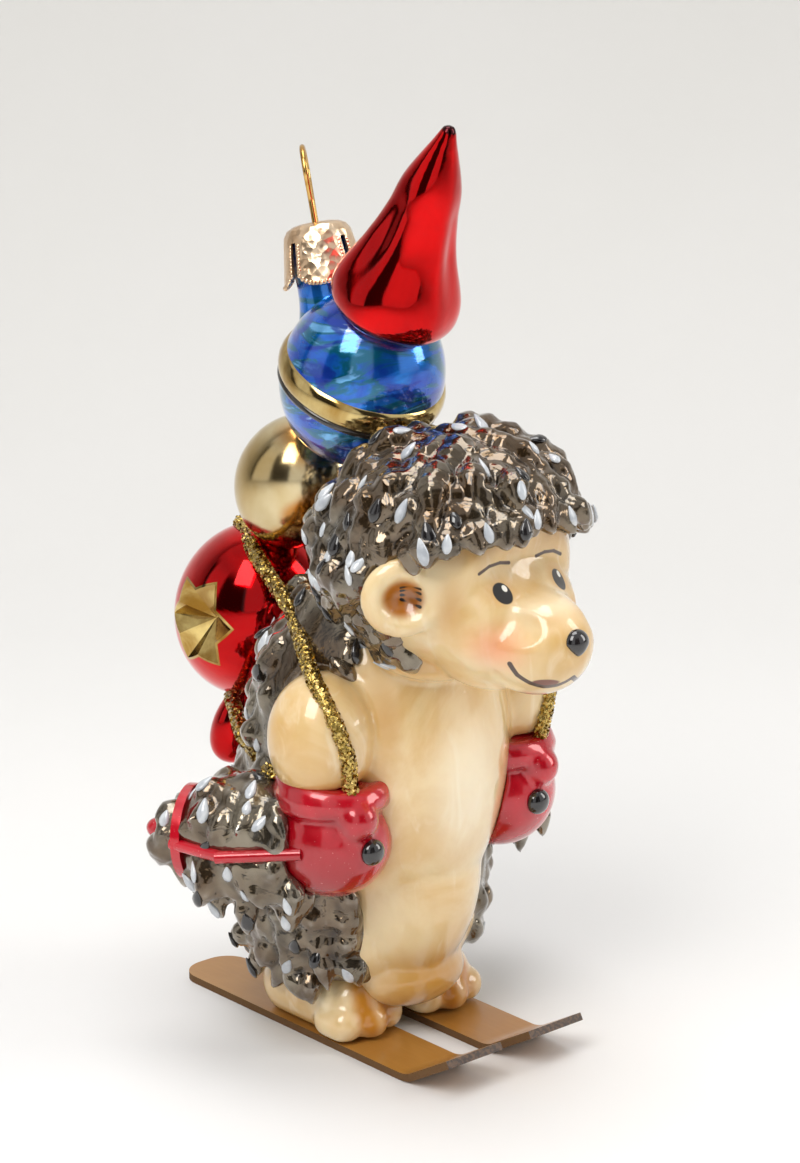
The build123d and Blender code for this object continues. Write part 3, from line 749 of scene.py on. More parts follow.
# Dabs across and up: blush, honey round the eye and beside the nose that is partly glaze and partly painted
# shade, then the eye itself
FACE_DABS = (
    ((8.6, 73.0), (6.5, 7.5, 5.4), 1.0, tint(240, 140, 100), 0.62),
    ((5.8, 81.0), (3.6, 4.0, 3.4), 0.9, tint(204, 146, 62), 0.7),
    ((4.0, 77.6), (5.0, 5.0, 1.6), 1.0, HONEY, 0.35),
    ((5.8, 80.6), (1.45, 3.0, 1.65), 0.12, INK, 1.0),
)
EYE_ACROSS, GLINT_ASIDE, GLINT_UP = 5.8, 0.6, 81.2
GLINT_RADII, GLINT_WHITE = (0.42, 2.0, 0.5), tint(250, 248, 240)
MOUTH_PLACE, MOUTH_RADII, MOUTH_RED = (3.9, 68.0), (2.4, 2.4, 0.8), tint(120, 62, 40)


def on_face(x, z):
    """The point of the face straight behind a place given across and up, in millimetres."""
    return skin_tree.ray_cast(mm(x, -80, z), BACKWARD)[0]


for side in (-1, 1):
    for centre, radii, softness, strength in SIDE_GLAZE_AND_SHADE:
        figure_paint.spot(on_side(side, centre), mm(*radii), softness, HONEY, strength)
    for (across, up), radii, softness, colour, strength in FACE_DABS:
        figure_paint.spot(on_face(side * across, up), mm(*radii), softness, colour, strength)
    glint = on_face(side * EYE_ACROSS + GLINT_ASIDE, GLINT_UP)
    figure_paint.spot(glint, mm(*GLINT_RADII), 0.2, GLINT_WHITE)
    brow = [on_face(side * across, up) for across, up in BROW]
    figure_paint.stroke(brow, FINE_LINE, LINE_EDGE, BROWN)
    mouth = on_face(side * MOUTH_PLACE[0], MOUTH_PLACE[1])
    figure_paint.spot(mouth, mm(*MOUTH_RADII), 0.25, MOUTH_RED)
    smile = [on_face(side * across, up) for across, up in SMILE]
    figure_paint.stroke(smile, SMILE_LINE, LINE_EDGE, BROWN)
print("face painted")

# %% [markdown]
# Inside each ear lie amber, a brown shadow and a few black hairs. Here the rays run against the
# way the ear faces.

# %% Painted ears
EAR_AMBER, EAR_BROWN = tint(184, 110, 22), tint(120, 70, 24)
EARS = (
    (mm(-17.4, -24.6, 79.7), Vector((-0.70, -0.71, 0))),
    (mm(19.2, -19.0, 79.7), Vector((0.89, -0.46, 0))),
)
HAIR_HEIGHTS, HAIR_EDGE = (-1.3, -0.3, 0.7, 1.5), 0.00016


def in_ear(ear, forward, up):
    """A point in an ear's dish, given forward and up from the dish's middle in millimetres."""
    place, facing = ear
    level = UP.cross(facing)
    level = level if level.y < 0 else -level
    start = place + facing * (12 * MM) + level * (forward * MM) + UP * (up * MM)
    return skin_tree.ray_cast(start, -facing)[0]


for ear in EARS:
    figure_paint.spot(in_ear(ear, -0.6, 0), mm(4.5, 4.5, 4.0), 0.45, EAR_AMBER)
    figure_paint.spot(in_ear(ear, 1.3, -0.3), mm(2.4, 2.4, 2.4), 0.9, EAR_BROWN, 0.6)
    for height in HAIR_HEIGHTS:
        hair = [in_ear(ear, -0.6, height * 0.7 + 0.5), in_ear(ear, 2.3, height)]
        figure_paint.stroke(hair, FINE_LINE, HAIR_EDGE, INK)
give(soft_figure, "soft_figure", "figure", "cream_glass", figure_paint.done(),
     "head", "belly", "arm_right", "arm_left", "ear_right", "ear_left")

# %% [markdown]
# ## The pulled spire
# The spire was drawn out of hot glass by hand, so it has soft folds along its length. Every point
# is moved in or out by its angle round the spire's own axis, and the folds die out at both ends.

# %% Spire
SPIRE_BASE = mm(0, -3.074, 119.816)
SPIRE_AXIS = Vector((0, -0.398749, 0.917060))
SPIRE_LENGTH = 30.4 * MM
# Folds: depth, number round the spire, first angle and twist. Bulges: depth, middle and reach
FOLDS = ((0.05, 3, 0.9, 1.2), (0.035, 6, 0.0, -1.5))
BULGES = ((-0.19, 0.36, 0.34), (0.22, 0.82, 0.3))
FADE_MIDDLE, FADE_REACH = 0.35, 0.62
spire = softened("spire", 0.0005, 6)
for vertex in spire.data.vertices:
    offset = vertex.co - SPIRE_BASE
    share = offset.dot(SPIRE_AXIS) / SPIRE_LENGTH
    spoke = offset - SPIRE_AXIS * offset.dot(SPIRE_AXIS)
    turn = spoke.angle(Vector((1, 0, 0))) if spoke.length > 0 else 0.0
    turn = turn if spoke.y > 0 else -turn
    fold = sum(depth * sin(count * turn + first + twist * share) for depth, count, first, twist in FOLDS)
    fade = max(0.0, 1.0 - abs(share - FADE_MIDDLE) / FADE_REACH)
    bulge = sum(depth * max(0.0, 1.0 - ((share - middle) / reach) ** 2) ** 2
                for depth, middle, reach in BULGES)
    vertex.co += spoke * (fold * fade + bulge)
give(spire, "pulled_spire", "figure", "red_glass", spire_glass, "spire")

# %% [markdown]
# ## Mittens
# Each mitten has a rolled cuff of two soft ridges. Two rings are added at their size and place,
# tipped a little, joined with the fist, and melted together by the same skin.

# %% Mittens
CUFF_MIDDLE = (17.5, -8.0, 45.95)
# Ridges: ring radius, thickness radius, lift over the cuff's middle, and tip in degrees
CUFF_RIDGES = ((7.5, 1.5, 1.2, 5), (7.9, 1.4, -1.6, -4))
for side, sign in (("right", -1), ("left", 1)):
    forms = [merged_copy("mitten_" + side), merged_copy("cuff_" + side)]
    for major, minor, lift, tip in CUFF_RIDGES:
        bpy.ops.object.select_all(action="DESELECT")
        place = mm(sign * CUFF_MIDDLE[0], CUFF_MIDDLE[1], CUFF_MIDDLE[2] + lift)
        bpy.ops.mesh.primitive_torus_add(
            major_radius=major * MM, minor_radius=minor * MM, major_segments=64, minor_segments=20,
            location=place, rotation=(radians(tip), 0, 0))
        settle(bpy.context.active_object)
        forms.append(bpy.context.active_object)
    mitten = melted(forms, 0.00045, 9)
    give(mitten, "soft_mitten_" + side, "figure", "crimson_lacquer", crimson,
         "mitten_" + side, "cuff_" + side)

# %% [markdown]
# ## The quill coat
# The mould's hardest part is the coat: overlapping drop-shaped tufts, combed down, that melt into
# one another because the glass was pushed into them from inside. One drop is modelled once from a
# small sphere. Copies are planted over the CAD coat, and one skin is drawn over them all, so that
# they fuse with soft valleys, as glass does.

# %% One tuft
def sphere_pattern(segments, rings, radius, shape=None):
    """The mesh of a small sphere, with each point reshaped by a function."""
    bpy.ops.object.select_all(action="DESELECT")
    bpy.ops.mesh.primitive_uv_sphere_add(segments=segments, ring_count=rings, radius=radius)
    obj = bpy.context.active_object
    if shape is not None:
        for vertex in obj.data.vertices:
            shape(vertex.co)
    mesh = obj.data.copy()
    bpy.data.objects.remove(obj)
    return mesh


def tuft_shape(point):
    """A drop that is fullest a little above its middle."""
    share = (point.z + 1) / 2
    swell = 0.62 + 0.55 * sin(pi * min(1.0, share * 1.15))
    point.x *= swell
    point.y *= swell


tuft_mesh = sphere_pattern(8, 6, 1.0, tuft_shape)
print("tuft pattern", len(tuft_mesh.polygons), "faces")

# %% [markdown]
# ## Planting tools
# A plant is a matrix that puts the pattern in place, with the tuft's axis, its outward lift, its
# centre and its size. A ray finds where a tuft roots: it is cast back from outside the coat.

# %% Planting tools
ROOT_SHARE = 0.30
RAY_FAR = 0.06


def outermost(tree, origin, direction, far=RAY_FAR):
    """The last point where a ray from inside leaves a shell: look back from outside."""
    return tree.ray_cast(origin + direction * far, -direction, far)[0]


def seated(root, outward, downward, width, length, lean, sink):
    """A tuft at its root: its long axis down the slope, tipped out by the lean."""
    axis = (downward * cos(lean) + outward * sin(lean)).normalized()
    across = axis.cross(outward).normalized()
    lift = across.cross(axis).normalized()
    centre = root + axis * (length * ROOT_SHARE) - outward * sink
    turn = Matrix((across, lift, axis)).transposed().to_4x4()
    size = Matrix.Diagonal((width / 2, width / 2, length / 2, 1.0))
    return Matrix.Translation(centre) @ turn @ size, axis, lift, centre, width, length


def copies(mesh, placings, name):
    """All the placed copies of a pattern as one mesh."""
    builder = bmesh.new()
    for matrix in placings:
        before = len(builder.verts)
        builder.from_mesh(mesh)
        builder.verts.ensure_lookup_table()
        bmesh.ops.transform(builder, matrix=matrix, verts=builder.verts[before:])
    return mesh_from(builder, name)


def bearing_to(rise, turn):
    """The direction at a rise over the level and a turn round the upright."""
    return Vector((cos(rise) * cos(turn), cos(rise) * sin(turn), sin(rise)))


# %% [markdown]
# ## Tufts on the head
# Rings of tufts grow from the crown down. A tuft is left out where it would touch a neighbouring
# piece or the floor, or hang below the fringe's edge over the face.

# %% Head tufts
COAT_AXIS_Y = 5.3
FRINGE_POINT = mm(0, -34.1, 91.15)
FRINGE_NORMAL = Vector((0, sin(radians(28)), cos(radians(28))))
FRINGE_HANG = 2.2 * MM
NEIGHBOUR_GAP, FLOOR_GAP, ROOT_SINK = 0.0009, 0.0028, 0.0008
# Each kind of tuft: width, length and lean
HEAD_TUFT = (4.2 * MM, 7.4 * MM, radians(-3))
HEAD_RINGS, HEAD_RADIUS, HEAD_PITCH = 15, 20, 4.1
rng = random.Random(11)
neighbours = tree_of("belly", "arm_right", "arm_left", "mitten_right", "mitten_left", "foot_right",
                     "foot_left", "red_bauble", "gold_bauble", "blue_bauble", "finial_knob", "ear_right",
                     "ear_left", "ski_right", "ski_left")
head_tree = tree_of("head_coat")
back_tree = tree_of("back_coat")
face_tree = tree_of("head")


def gap_to(tree, point):
    """How far a point is from the nearest surface of a tree."""
    return tree.find_nearest(point)[3]


def over_fringe(point):
    """How far a point lies above the plane of the fringe's edge."""
    return (point - FRINGE_POINT).dot(FRINGE_NORMAL)


def grown(tree, origin, direction, kind, plants, face_gap):
    """Plant one tuft where a ray leaves the coat, if it has room."""
    width, length, lean = kind
    root = outermost(tree, origin, direction)
    if root is None:
        return
    outward = direction.normalized()
    downward = outward * outward.z - UP
    if downward.length < 0.12:
        downward = -BACKWARD
    downward = downward.normalized()
    sway = rng.uniform(-0.7, 0.7)
    downward = (downward + outward.cross(downward) * sway).normalized()
    width *= rng.uniform(0.8, 1.25)
    length *= rng.uniform(0.8, 1.3)
    plant = seated(root, outward, downward, width, length, lean, ROOT_SINK)
    centre = plant[3]
    tip = centre + plant[1] * (length * 0.5)
    crowded = min(gap_to(neighbours, centre), gap_to(neighbours, tip)) < NEIGHBOUR_GAP
    if crowded or tip.z < FLOOR_GAP or gap_to(face_tree, tip) < face_gap:
        return
    if tree is head_tree and over_fringe(tip) < -FRINGE_HANG:
        return
    plants.append(plant)


head_plants = []
for ring in range(HEAD_RINGS):
    polar = radians(6 + ring * 7.4)
    count = max(3, round(2 * pi * HEAD_RADIUS * sin(polar) / HEAD_PITCH))
    for step in range(count):
        turn = 2 * pi * (step + 0.5 * (ring % 2) + rng.uniform(-0.2, 0.2)) / count
        direction = Vector((sin(polar) * cos(turn), sin(polar) * sin(turn), cos(polar)))
        grown(head_tree, HEAD_MIDDLE, direction, HEAD_TUFT, head_plants, 0.0)
print("head tufts", len(head_plants))

# %% [markdown]
# ## Locks at the fringe and the nape
# Along the fringe a row of larger locks stands out over the brow. For each turn round the head, the
# rise is lowered until it meets the fringe's edge. Behind the ears rows of locks run down the nape.

# %% Fringe and nape
FRINGE_LOCK = (4.4 * MM, 6.6 * MM, radians(16))
NAPE_LOCK = (4.2 * MM, 7.0 * MM, radians(2))
NAPE_FAR, EAR_GAP, LOCK_SINK, FRINGE_RISE = 0.027, 0.0016, 0.0006, 1.8 * MM
ear_tree = tree_of("ear_right", "ear_left")
nape_tree = tree_of("head", "head_coat", "back_coat")


def lock(tree, direction, kind, far):
    """A larger lock where a ray from the head's middle leaves a surface, clear of the ears."""
    width, length, lean = kind
    root = outermost(tree, HEAD_MIDDLE, direction, far)
    if root is None or gap_to(ear_tree, root) < EAR_GAP:
        return
    downward = (direction * direction.z - UP).normalized()
    downward = (downward + direction.cross(downward) * rng.uniform(-0.35, 0.35)).normalized()
    width *= rng.uniform(0.85, 1.2)
    length *= rng.uniform(0.85, 1.2)
    head_plants.append(seated(root, direction, downward, width, length, lean, LOCK_SINK))


for step in range(19):
    turn = radians(-90 + (step - 9) * 9.0 + rng.uniform(-2, 2))
    for rise_degrees in range(60, 0, -1):
        direction = bearing_to(radians(rise_degrees), turn)
        if over_fringe(HEAD_MIDDLE + direction * (HEAD_RADIUS * MM)) < FRINGE_RISE:
            break
    lock(head_tree, direction, FRINGE_LOCK, RAY_FAR)
for side in (0, 1):
    for row in range(7):
        for step in range(8):
            turn = radians(194 - step * 13.0 - 6.5 * (row % 2) + rng.uniform(-3, 3))
            turn = pi - turn if side else turn
            lock(nape_tree, bearing_to(radians(4 - row * 7.5), turn), NAPE_LOCK, NAPE_FAR)
print("tufts and locks on the head", len(head_plants))

# %% [markdown]
# ## Tufts on the back
# On the barrel of the body the tufts stand in level rows, each row half a step round from the last.

# %% Back tufts
BACK_TUFT = (3.5 * MM, 6.6 * MM, radians(2))
BACK_ROWS, BACK_COUNT, BACK_FACE_GAP = 17, 34, 0.0002
back_plants = []
for row in range(BACK_ROWS):
    height = 4.5 + row * 4.0
    for step in range(BACK_COUNT):
        turn = 2 * pi * (step + 0.5 * (row % 2) + rng.uniform(-0.25, 0.25)) / BACK_COUNT
        direction = Vector((cos(turn), sin(turn), 0))
        if direction.y > -0.75:
            middle = mm(0, COAT_AXIS_Y, height + rng.uniform(-0.8, 0.8))
            grown(back_tree, middle, direction, BACK_TUFT, back_plants, BACK_FACE_GAP)
print("back tufts", len(back_plants))

# %% [markdown]
# The pockets that hold the ski poles get rings of tufts round their own axis. They are planted on
# the right, kept clear of the pole, and mirrored to the left.

# %% Pocket tufts
POCKET_TUFT = (3.3 * MM, 5.6 * MM, radians(-4))
POCKET_MIDDLE = mm(-23.25, 1.95, 36.55)
POCKET_AXIS = Vector((-0.5, 0.8655, -0.0349))
POCKET_COUNT, POLE_ROOT_GAP, POLE_TIP_GAP = 15, 0.0016, 0.0012
pole_tree = tree_of("pole_right", "pole_left")
pocket_plants = []
beside = POCKET_AXIS.cross(UP).normalized()
for ring in range(6):
    station = POCKET_MIDDLE + POCKET_AXIS * ((ring * 3.6 - 4.0) * MM)
    for step in range(POCKET_COUNT):
        turn = 2 * pi * (step + 0.5 * (ring % 2) + rng.uniform(-0.2, 0.2)) / POCKET_COUNT
        direction = (UP * cos(turn) + beside * sin(turn)).normalized()
        grown(back_tree, station, direction, POCKET_TUFT, pocket_plants, 0.0)
flip = Matrix.Diagonal((-1, 1, 1, 1))
for plant in pocket_plants:
    matrix, axis, lift, centre, width, length = plant
    tip = centre + axis * length / 2
    if gap_to(pole_tree, centre) > POLE_ROOT_GAP and gap_to(pole_tree, tip) > POLE_TIP_GAP:
        mirrored = [Vector((-v.x, v.y, v.z)) for v in (axis, lift, centre)]
        back_plants += [plant, (flip @ matrix, *mirrored, width, length)]
print("tufts with the pockets", len(back_plants))

# %% [markdown]
# Two bare places are left: the coat's front rim beside the chest, and its flat top behind the
# head. There the tufts are dropped on from the front and from above.

# %% Rim and top tufts
RIM_WIDTH, RIM_LEAN = 3.5 * MM, radians(2)
TOP_TUFT = (3.6 * MM, 6.4 * MM, radians(2))
TOP_FLOOR, TOP_GAP, TOP_FORWARD = 0.06, 0.0012, 0.004
for side in (-1, 1):
    for row in range(8):
        for column in range(4):
            front = mm(side * (11.0 + 2.9 * column + 1.2 * (row % 2)), -40.0, 58.0 + 2.6 * row)
            hit = back_tree.ray_cast(front, BACKWARD)[0]
            if hit is None or not -0.0105 < hit.y < -0.006:
                continue
            outward = Vector((side * 0.45, -0.9, 0)).normalized()
            downward = Vector((side * rng.uniform(-0.1, 0.4), 0, -1)).normalized()
            length = rng.uniform(6.0, 8.0) * MM
            back_plants.append(seated(hit, outward, downward, RIM_WIDTH, length, RIM_LEAN, ROOT_SINK))
for column in range(-4, 5):
    for row in range(8):
        above = mm(3.4 * column + 1.7 * (row % 2), -2.0 + 3.0 * row, 110.0)
        hit, normal = back_tree.ray_cast(above, -UP)[:2]
        if hit is None or hit.z < TOP_FLOOR or normal.z < 0.6 or gap_to(neighbours, hit) < TOP_GAP:
            continue
        outward = Vector((0.15 * column, 0.25, 1)).normalized()
        away = Vector((hit.x, hit.y - COAT_AXIS_Y * MM + TOP_FORWARD, 0)).normalized()
        downward = (away - outward * away.dot(outward)).normalized()
        back_plants.append(seated(hit, outward, downward, *TOP_TUFT, ROOT_SINK))
print("tufts", len(head_plants), "on the head and", len(back_plants), "on the back")

# %% [markdown]
# ## One skin over the tufts
# The relief is also kept as a number on every point: how far it stands above the same surface when
# that is ironed flat. The paint uses it to lay painted shade in the valleys and a painted highlight
# on the ridges.

# %% Skin and relief
IRON_PASSES, FULL_RELIEF = 24, 0.0011


def coat_skin(node, plants, voxel):
    """The CAD coat, ironed smooth, and its tufts under one skin."""
    drops = linked("tufts of " + node, copies(tuft_mesh, [plant[0] for plant in plants], "tufts"))
    ground = melted([merged_copy(node)], 0.0006, 22)
    return melted([ground, drops], voxel, 6)


def keep_relief(obj):
    """Store how far each point stands above the ironed surface, from 0 to 1 with 0.5 level."""
    mesh = obj.data
    shape = linked("ironed", mesh.copy())
    iron = shape.modifiers.new("iron", "SMOOTH")
    iron.factor = 0.5
    iron.iterations = IRON_PASSES
    apply_all(shape)
    relief = mesh.attributes.new("relief", "FLOAT", "POINT")
    for vertex, flat in zip(mesh.vertices, shape.data.vertices):
        height = (vertex.co - flat.co).dot(vertex.normal)
        relief.data[vertex.index].value = max(0.0, min(1.0, 0.5 + height / FULL_RELIEF))
    ironed = shape.data
    bpy.data.objects.remove(shape)
    bpy.data.meshes.remove(ironed)


head_skin = coat_skin("head_coat", head_plants, 0.00038)
keep_relief(head_skin)
back_skin = coat_skin("back_coat", back_plants, 0.00047)
keep_relief(back_skin)
print("coat skins", len(head_skin.data.polygons), len(back_skin.data.polygons))

# %% [markdown]
# ## Coat lacquer
# Pewter-brown lacquer over silver: dark umber painted shade in the valleys, warm grey on the slopes
# and a pale painted highlight on the ridges. The crown is browner than the back.

# %% Coat lacquer
CROWN_FROM, CROWN_TO = 0.088, 0.096
coat_paint = Paint("pewter lacquer", roughness=0.1, metallic=0.8, coat_roughness=0.02)
coat_paint.ground(150.0, tint(138, 128, 110), tint(78, 68, 54))
height_node = coat_paint.tree.nodes.new("ShaderNodeAttribute")
height_node.attribute_name = "relief"
depth = height_node.outputs["Fac"]
crown = coat_paint.step(coat_paint.parts(coat_paint.place)["Z"], CROWN_FROM, CROWN_TO)
warm = coat_paint.step(coat_paint.noise(95.0, 3.0), 0.40, 0.62)
coat_paint.over(crown, tint(74, 56, 30), 0.55)
coat_paint.over(warm, tint(98, 66, 28), 0.45)
# Painted shade in the valleys
coat_paint.over(coat_paint.inverse(coat_paint.step(depth, 0.22, 0.50)), tint(22, 15, 11))
# Painted highlight on the ridges
coat_paint.over(coat_paint.step(depth, 0.62, 0.90), tint(222, 220, 214), 0.8)
coat_paint.relief(coat_paint.noise(300.0, 2.0, None, 1.2), 0.0008, 0.5)
pewter = coat_paint.done()
give(head_skin, "quill_cap", "figure", "coat_glass", pewter, "head_coat")
give(back_skin, "quill_coat", "figure", "coat_glass", pewter, "back_coat")

# %% [markdown]
# ## Enamel drops
# The painter touched many quill ends with a loaded brush: white drops, often drawn out along the
# quill, and rounder black ones. A drop is a flat, smooth kind of tuft, set on the finished skin.

# %% Enamel drops
def drop_shape(point):
    """A flat drop that narrows to one end."""
    narrow = 0.45 + 0.55 * min(1.0, (point.z + 1) / 2 * 1.7)
    point.x *= narrow
    point.y *= narrow * 0.5


def drop_on(skin, plant, width, length, share):
    """A drop on the finished skin, over a tuft's outer face, lying along the tuft."""
    matrix, axis, lift, centre, tuft_width, tuft_length = plant
    above = centre + axis * (tuft_length * share) + lift * (6 * MM)
    place, normal = skin.ray_cast(above, -lift, 0.012)[:2]
    if place is None:
        return []
    along_skin = (axis - normal * axis.dot(normal)).normalized()
    turn = Matrix((along_skin.cross(normal), normal, along_skin)).transposed().to_4x4()
    size = Matrix.Diagonal((width / 2, width / 2, length / 2, 1.0))
    return [Matrix.Translation(place) @ turn @ size]


# Each coat with the shares of its tufts that get a white and a black drop
DROP_SHARES = ((head_skin, head_plants, 0.24, 0.14), (back_skin, back_plants, 0.2, 0.13))
drop_mesh = sphere_pattern(10, 7, 1.0, drop_shape)
white_places, black_places = [], []
for coat, plants, white_share, black_share in DROP_SHARES:
    surface = search_tree(coat.data)
    for plant in plants:
        draw = rng.random()
        width = rng.uniform(1.6, 2.2) * MM
        stretch = rng.uniform(1.4, 2.3)
        if draw < white_share:
            white_places += drop_on(surface, plant, width, width * stretch, 0.16)
        elif draw < white_share + black_share:
            black_places += drop_on(surface, plant, width * 1.25, width * 1.9, 0.2)
for name, places, material, slot in (("white_drops", white_places, white_enamel, "coat_glass"),
                                     ("black_drops", black_places, black_enamel, "black_enamel")):
    drops = linked(name, copies(drop_mesh, places, name))
    bpy.ops.object.shade_smooth()
    give(drops, name, "figure", slot, material)

# %% [markdown]
# ## Glitter straps
# The straps are beads of glue strewn with metal flakes. The CAD bead is roughened as the core, and
# small six-sided flakes are scattered over it, each tipped its own way so that some flash.

# %% Glitter straps
FLAKE_SIZE, FLAKE_LIFT, FLAKE_TIP = 0.27 * MM, 0.12 * MM, 0.6
strap_paint = Paint("glitter flakes", roughness=0.24, metallic=1.0, coat=0.5)
strap_paint.ground(1500.0, tint(224, 194, 108), tint(136, 108, 36))
strap_paint.relief(strap_paint.noise(2400.0), 0.0003, 0.6)
glitter = strap_paint.done()


def flakes_on(mesh, count):
    """Six-sided flakes strewn over a mesh, by area."""
    areas = [face.area for face in mesh.polygons]
    builder = bmesh.new()
    for index in rng.choices(range(len(areas)), weights=areas, k=count):
        face = mesh.polygons[index]
        corners = [mesh.vertices[i].co for i in face.vertices]
        first, second = rng.random(), rng.random()
        if first + second > 1:
            first, second = 1 - first, 1 - second
        place = corners[0] + (corners[1] - corners[0]) * first + (corners[2] - corners[0]) * second
        tip = Vector((rng.uniform(-1, 1), rng.uniform(-1, 1), rng.uniform(-1, 1)))
        normal = (face.normal + tip * FLAKE_TIP).normalized()
        across = normal.orthogonal().normalized()
        beside = normal.cross(across)
        place = place + face.normal * FLAKE_LIFT
        radius = FLAKE_SIZE * rng.uniform(0.7, 1.2)
        spokes = [across * cos(k * pi / 3) + beside * sin(k * pi / 3) for k in range(6)]
        builder.faces.new([builder.verts.new(place + spoke * radius) for spoke in spokes])
    made = bpy.data.meshes.new("flakes")
    builder.to_mesh(made)
    builder.free()
    return made


for strap, count in (("strap_upper", 2400), ("strap_lower", 1300)):
    for side in ("right", "left"):
        node = f"{strap}_{side}"
        core = softened(node, 0.00032, 1)
        rough = core.modifiers.new("rough", "DISPLACE")
        grain = bpy.data.textures.new("glue grain " + node, "CLOUDS")
        grain.noise_scale = 0.0008
        rough.texture = grain
        rough.texture_coords = "GLOBAL"
        rough.strength = 0.0005
        apply_all(core)
        flakes = linked("flakes", flakes_on(nodes[node].data, count))
        only(core)
        flakes.select_set(True)
        bpy.ops.object.join()
        give(core, "glitter_" + node, "figure", "glitter", glitter, node)

# %% [markdown]
# ## The pressed cap
# The cap is thin metal pressed into a low dome with four rounded tabs. Its surface is laid out as
# columns of points from the crown down each tab, each tab shorter at its corners, and the Solidify
# modifier gives it the sheet's thickness.

# %% Cap
NECK_RIM = mm(0, 15.809, 127.996)
NECK_AXIS = Vector((0, 0.258819, 0.965926))
ACROSS = Vector((1, 0, 0))
BACK = NECK_AXIS.cross(ACROSS)
CROWN = ((0.4, 1.05), (2.2, 1.0), (3.6, 0.75), (4.6, 0.25), (5.15, -0.6), (5.35, -1.6))
CROWN_STEPS, CROWN_ANGLE = 80, 4.5
SKIRT_TOP, SKIRT_RUN, SKIRT_FLARE, CORNER_CUT = CROWN[-1], 7.0, 1.1, 0.30
FIRST_TAB, TAB_HALF, TAB_COLUMNS, TAB_ROWS = 49, 40.0, 20, 8
TAB_CENTRES = [FIRST_TAB + 90 * tab for tab in range(4)]


def on_cap(turn, radius, height):
    """A point of the cap in its own leaning frame: an angle, a radius and a height over the rim."""
    spoke = ACROSS * cos(radians(turn)) + BACK * sin(radians(turn))
    return NECK_RIM + spoke * (radius * MM) + NECK_AXIS * (height * MM)


def on_tab(centre, aside, down):
    """A point on a tab: degrees aside of its middle, and a share of its run, shorter at the corners."""
    run = down * (1.0 - CORNER_CUT * abs(aside / TAB_HALF) ** 3)
    return on_cap(centre + aside, SKIRT_TOP[0] + SKIRT_FLARE * run, SKIRT_TOP[1] - SKIRT_RUN * run)


def strip(builder, columns):
    """Faces between neighbouring columns of points."""
    made = [[builder.verts.new(point) for point in column] for column in columns]
    for left, right in zip(made, made[1:]):
        for i in range(len(left) - 1):
            builder.faces.new((left[i], right[i], right[i + 1], left[i + 1]))


builder = bmesh.new()
turns = [FIRST_TAB + CROWN_ANGLE * step for step in range(CROWN_STEPS + 1)]
strip(builder, [[on_cap(turn, *point) for point in CROWN] for turn in turns])
builder.faces.new([builder.verts.new(on_cap(turn, *CROWN[0])) for turn in turns[:-1]])
for centre in TAB_CENTRES:
    columns = []
    for step in range(TAB_COLUMNS + 1):
        aside = TAB_HALF * (2 * step / TAB_COLUMNS - 1)
        columns.append([on_tab(centre, aside, row / TAB_ROWS) for row in range(TAB_ROWS + 1)])
    strip(builder, columns)
bmesh.ops.remove_doubles(builder, verts=builder.verts, dist=0.00001)
pressed_cap = linked("pressed_cap", mesh_from(builder, "pressed_cap"))
sheet = pressed_cap.modifiers.new("sheet", "SOLIDIFY")
sheet.thickness = 0.35 * MM
sheet.offset = 0.0
apply_all(pressed_cap)
bpy.ops.object.shade_smooth_by_angle(angle=radians(40))
give(pressed_cap, "pressed_cap", "cap_body", "cap_metal", cap_metal, "cap")

# %% [markdown]
# A row of pressed beads follows the lower edge and both sides of every tab.

# %% Cap beads
bead_points = []
for centre in TAB_CENTRES:
    bead_points += [on_tab(centre, 0.92 * TAB_HALF * (2 * step / 13 - 1), 0.95) for step in range(14)]
    for step in range(1, 9):
        bead_points += [on_tab(centre, side * 0.9 * TAB_HALF, step / 10) for side in (-1, 1)]
pip_mesh = sphere_pattern(8, 5, 0.42 * MM)
bead_places = [Matrix.Translation(point) for point in bead_points]
cap_beads = linked("cap_beads", copies(pip_mesh, bead_places, "cap_beads"))
bpy.ops.object.shade_smooth()
give(cap_beads, "cap_beads", "cap_body", "cap_metal", cap_metal)

# %% [markdown]
# ## The gold band
# Round the blue bauble runs a raised gold band with a dark painted line under it. Two rings are
# added at the origin, stretched upright, tipped to the bauble's lean and set at its middle.

# %% Gold band
BLUE_MIDDLE = mm(0, 5.012, 106.359)
BLUE_LEAN = radians(26.0)
line_paint = Paint("band outline", roughness=0.2)
line_paint.ground(200.0, tint(38, 30, 22), tint(20, 16, 14))
outline = line_paint.done()
# Each ring: name, drop, ring radius, thickness radius, stretch, finish, slot and what it replaces
RINGS = (
    ("gold_band", 0.0, 12.3, 1.2, 1.9, band_gold, "gold_lacquer", ["bauble_band"]),
    ("band_line", -2.5, 12.45, 0.6, 1.0, outline, "black_enamel", []),
)
for name, drop, major, minor, tall, material, slot, replaced in RINGS:
    bpy.ops.object.select_all(action="DESELECT")
    bpy.ops.mesh.primitive_torus_add(
        major_radius=major * MM, minor_radius=minor * MM, major_segments=96, minor_segments=16,
        location=(0, 0, drop * MM))
    ring = bpy.context.active_object
    ring.scale.z = tall
    settle(ring)
    ring.rotation_euler.x = BLUE_LEAN
    ring.location = BLUE_MIDDLE
    settle(ring)
    bpy.ops.object.shade_smooth()
    give(ring, name, "figure", slot, material, *replaced)

# %% [markdown]
# ## Pole points
# Behind its basket each ski pole ends in a small red drop.

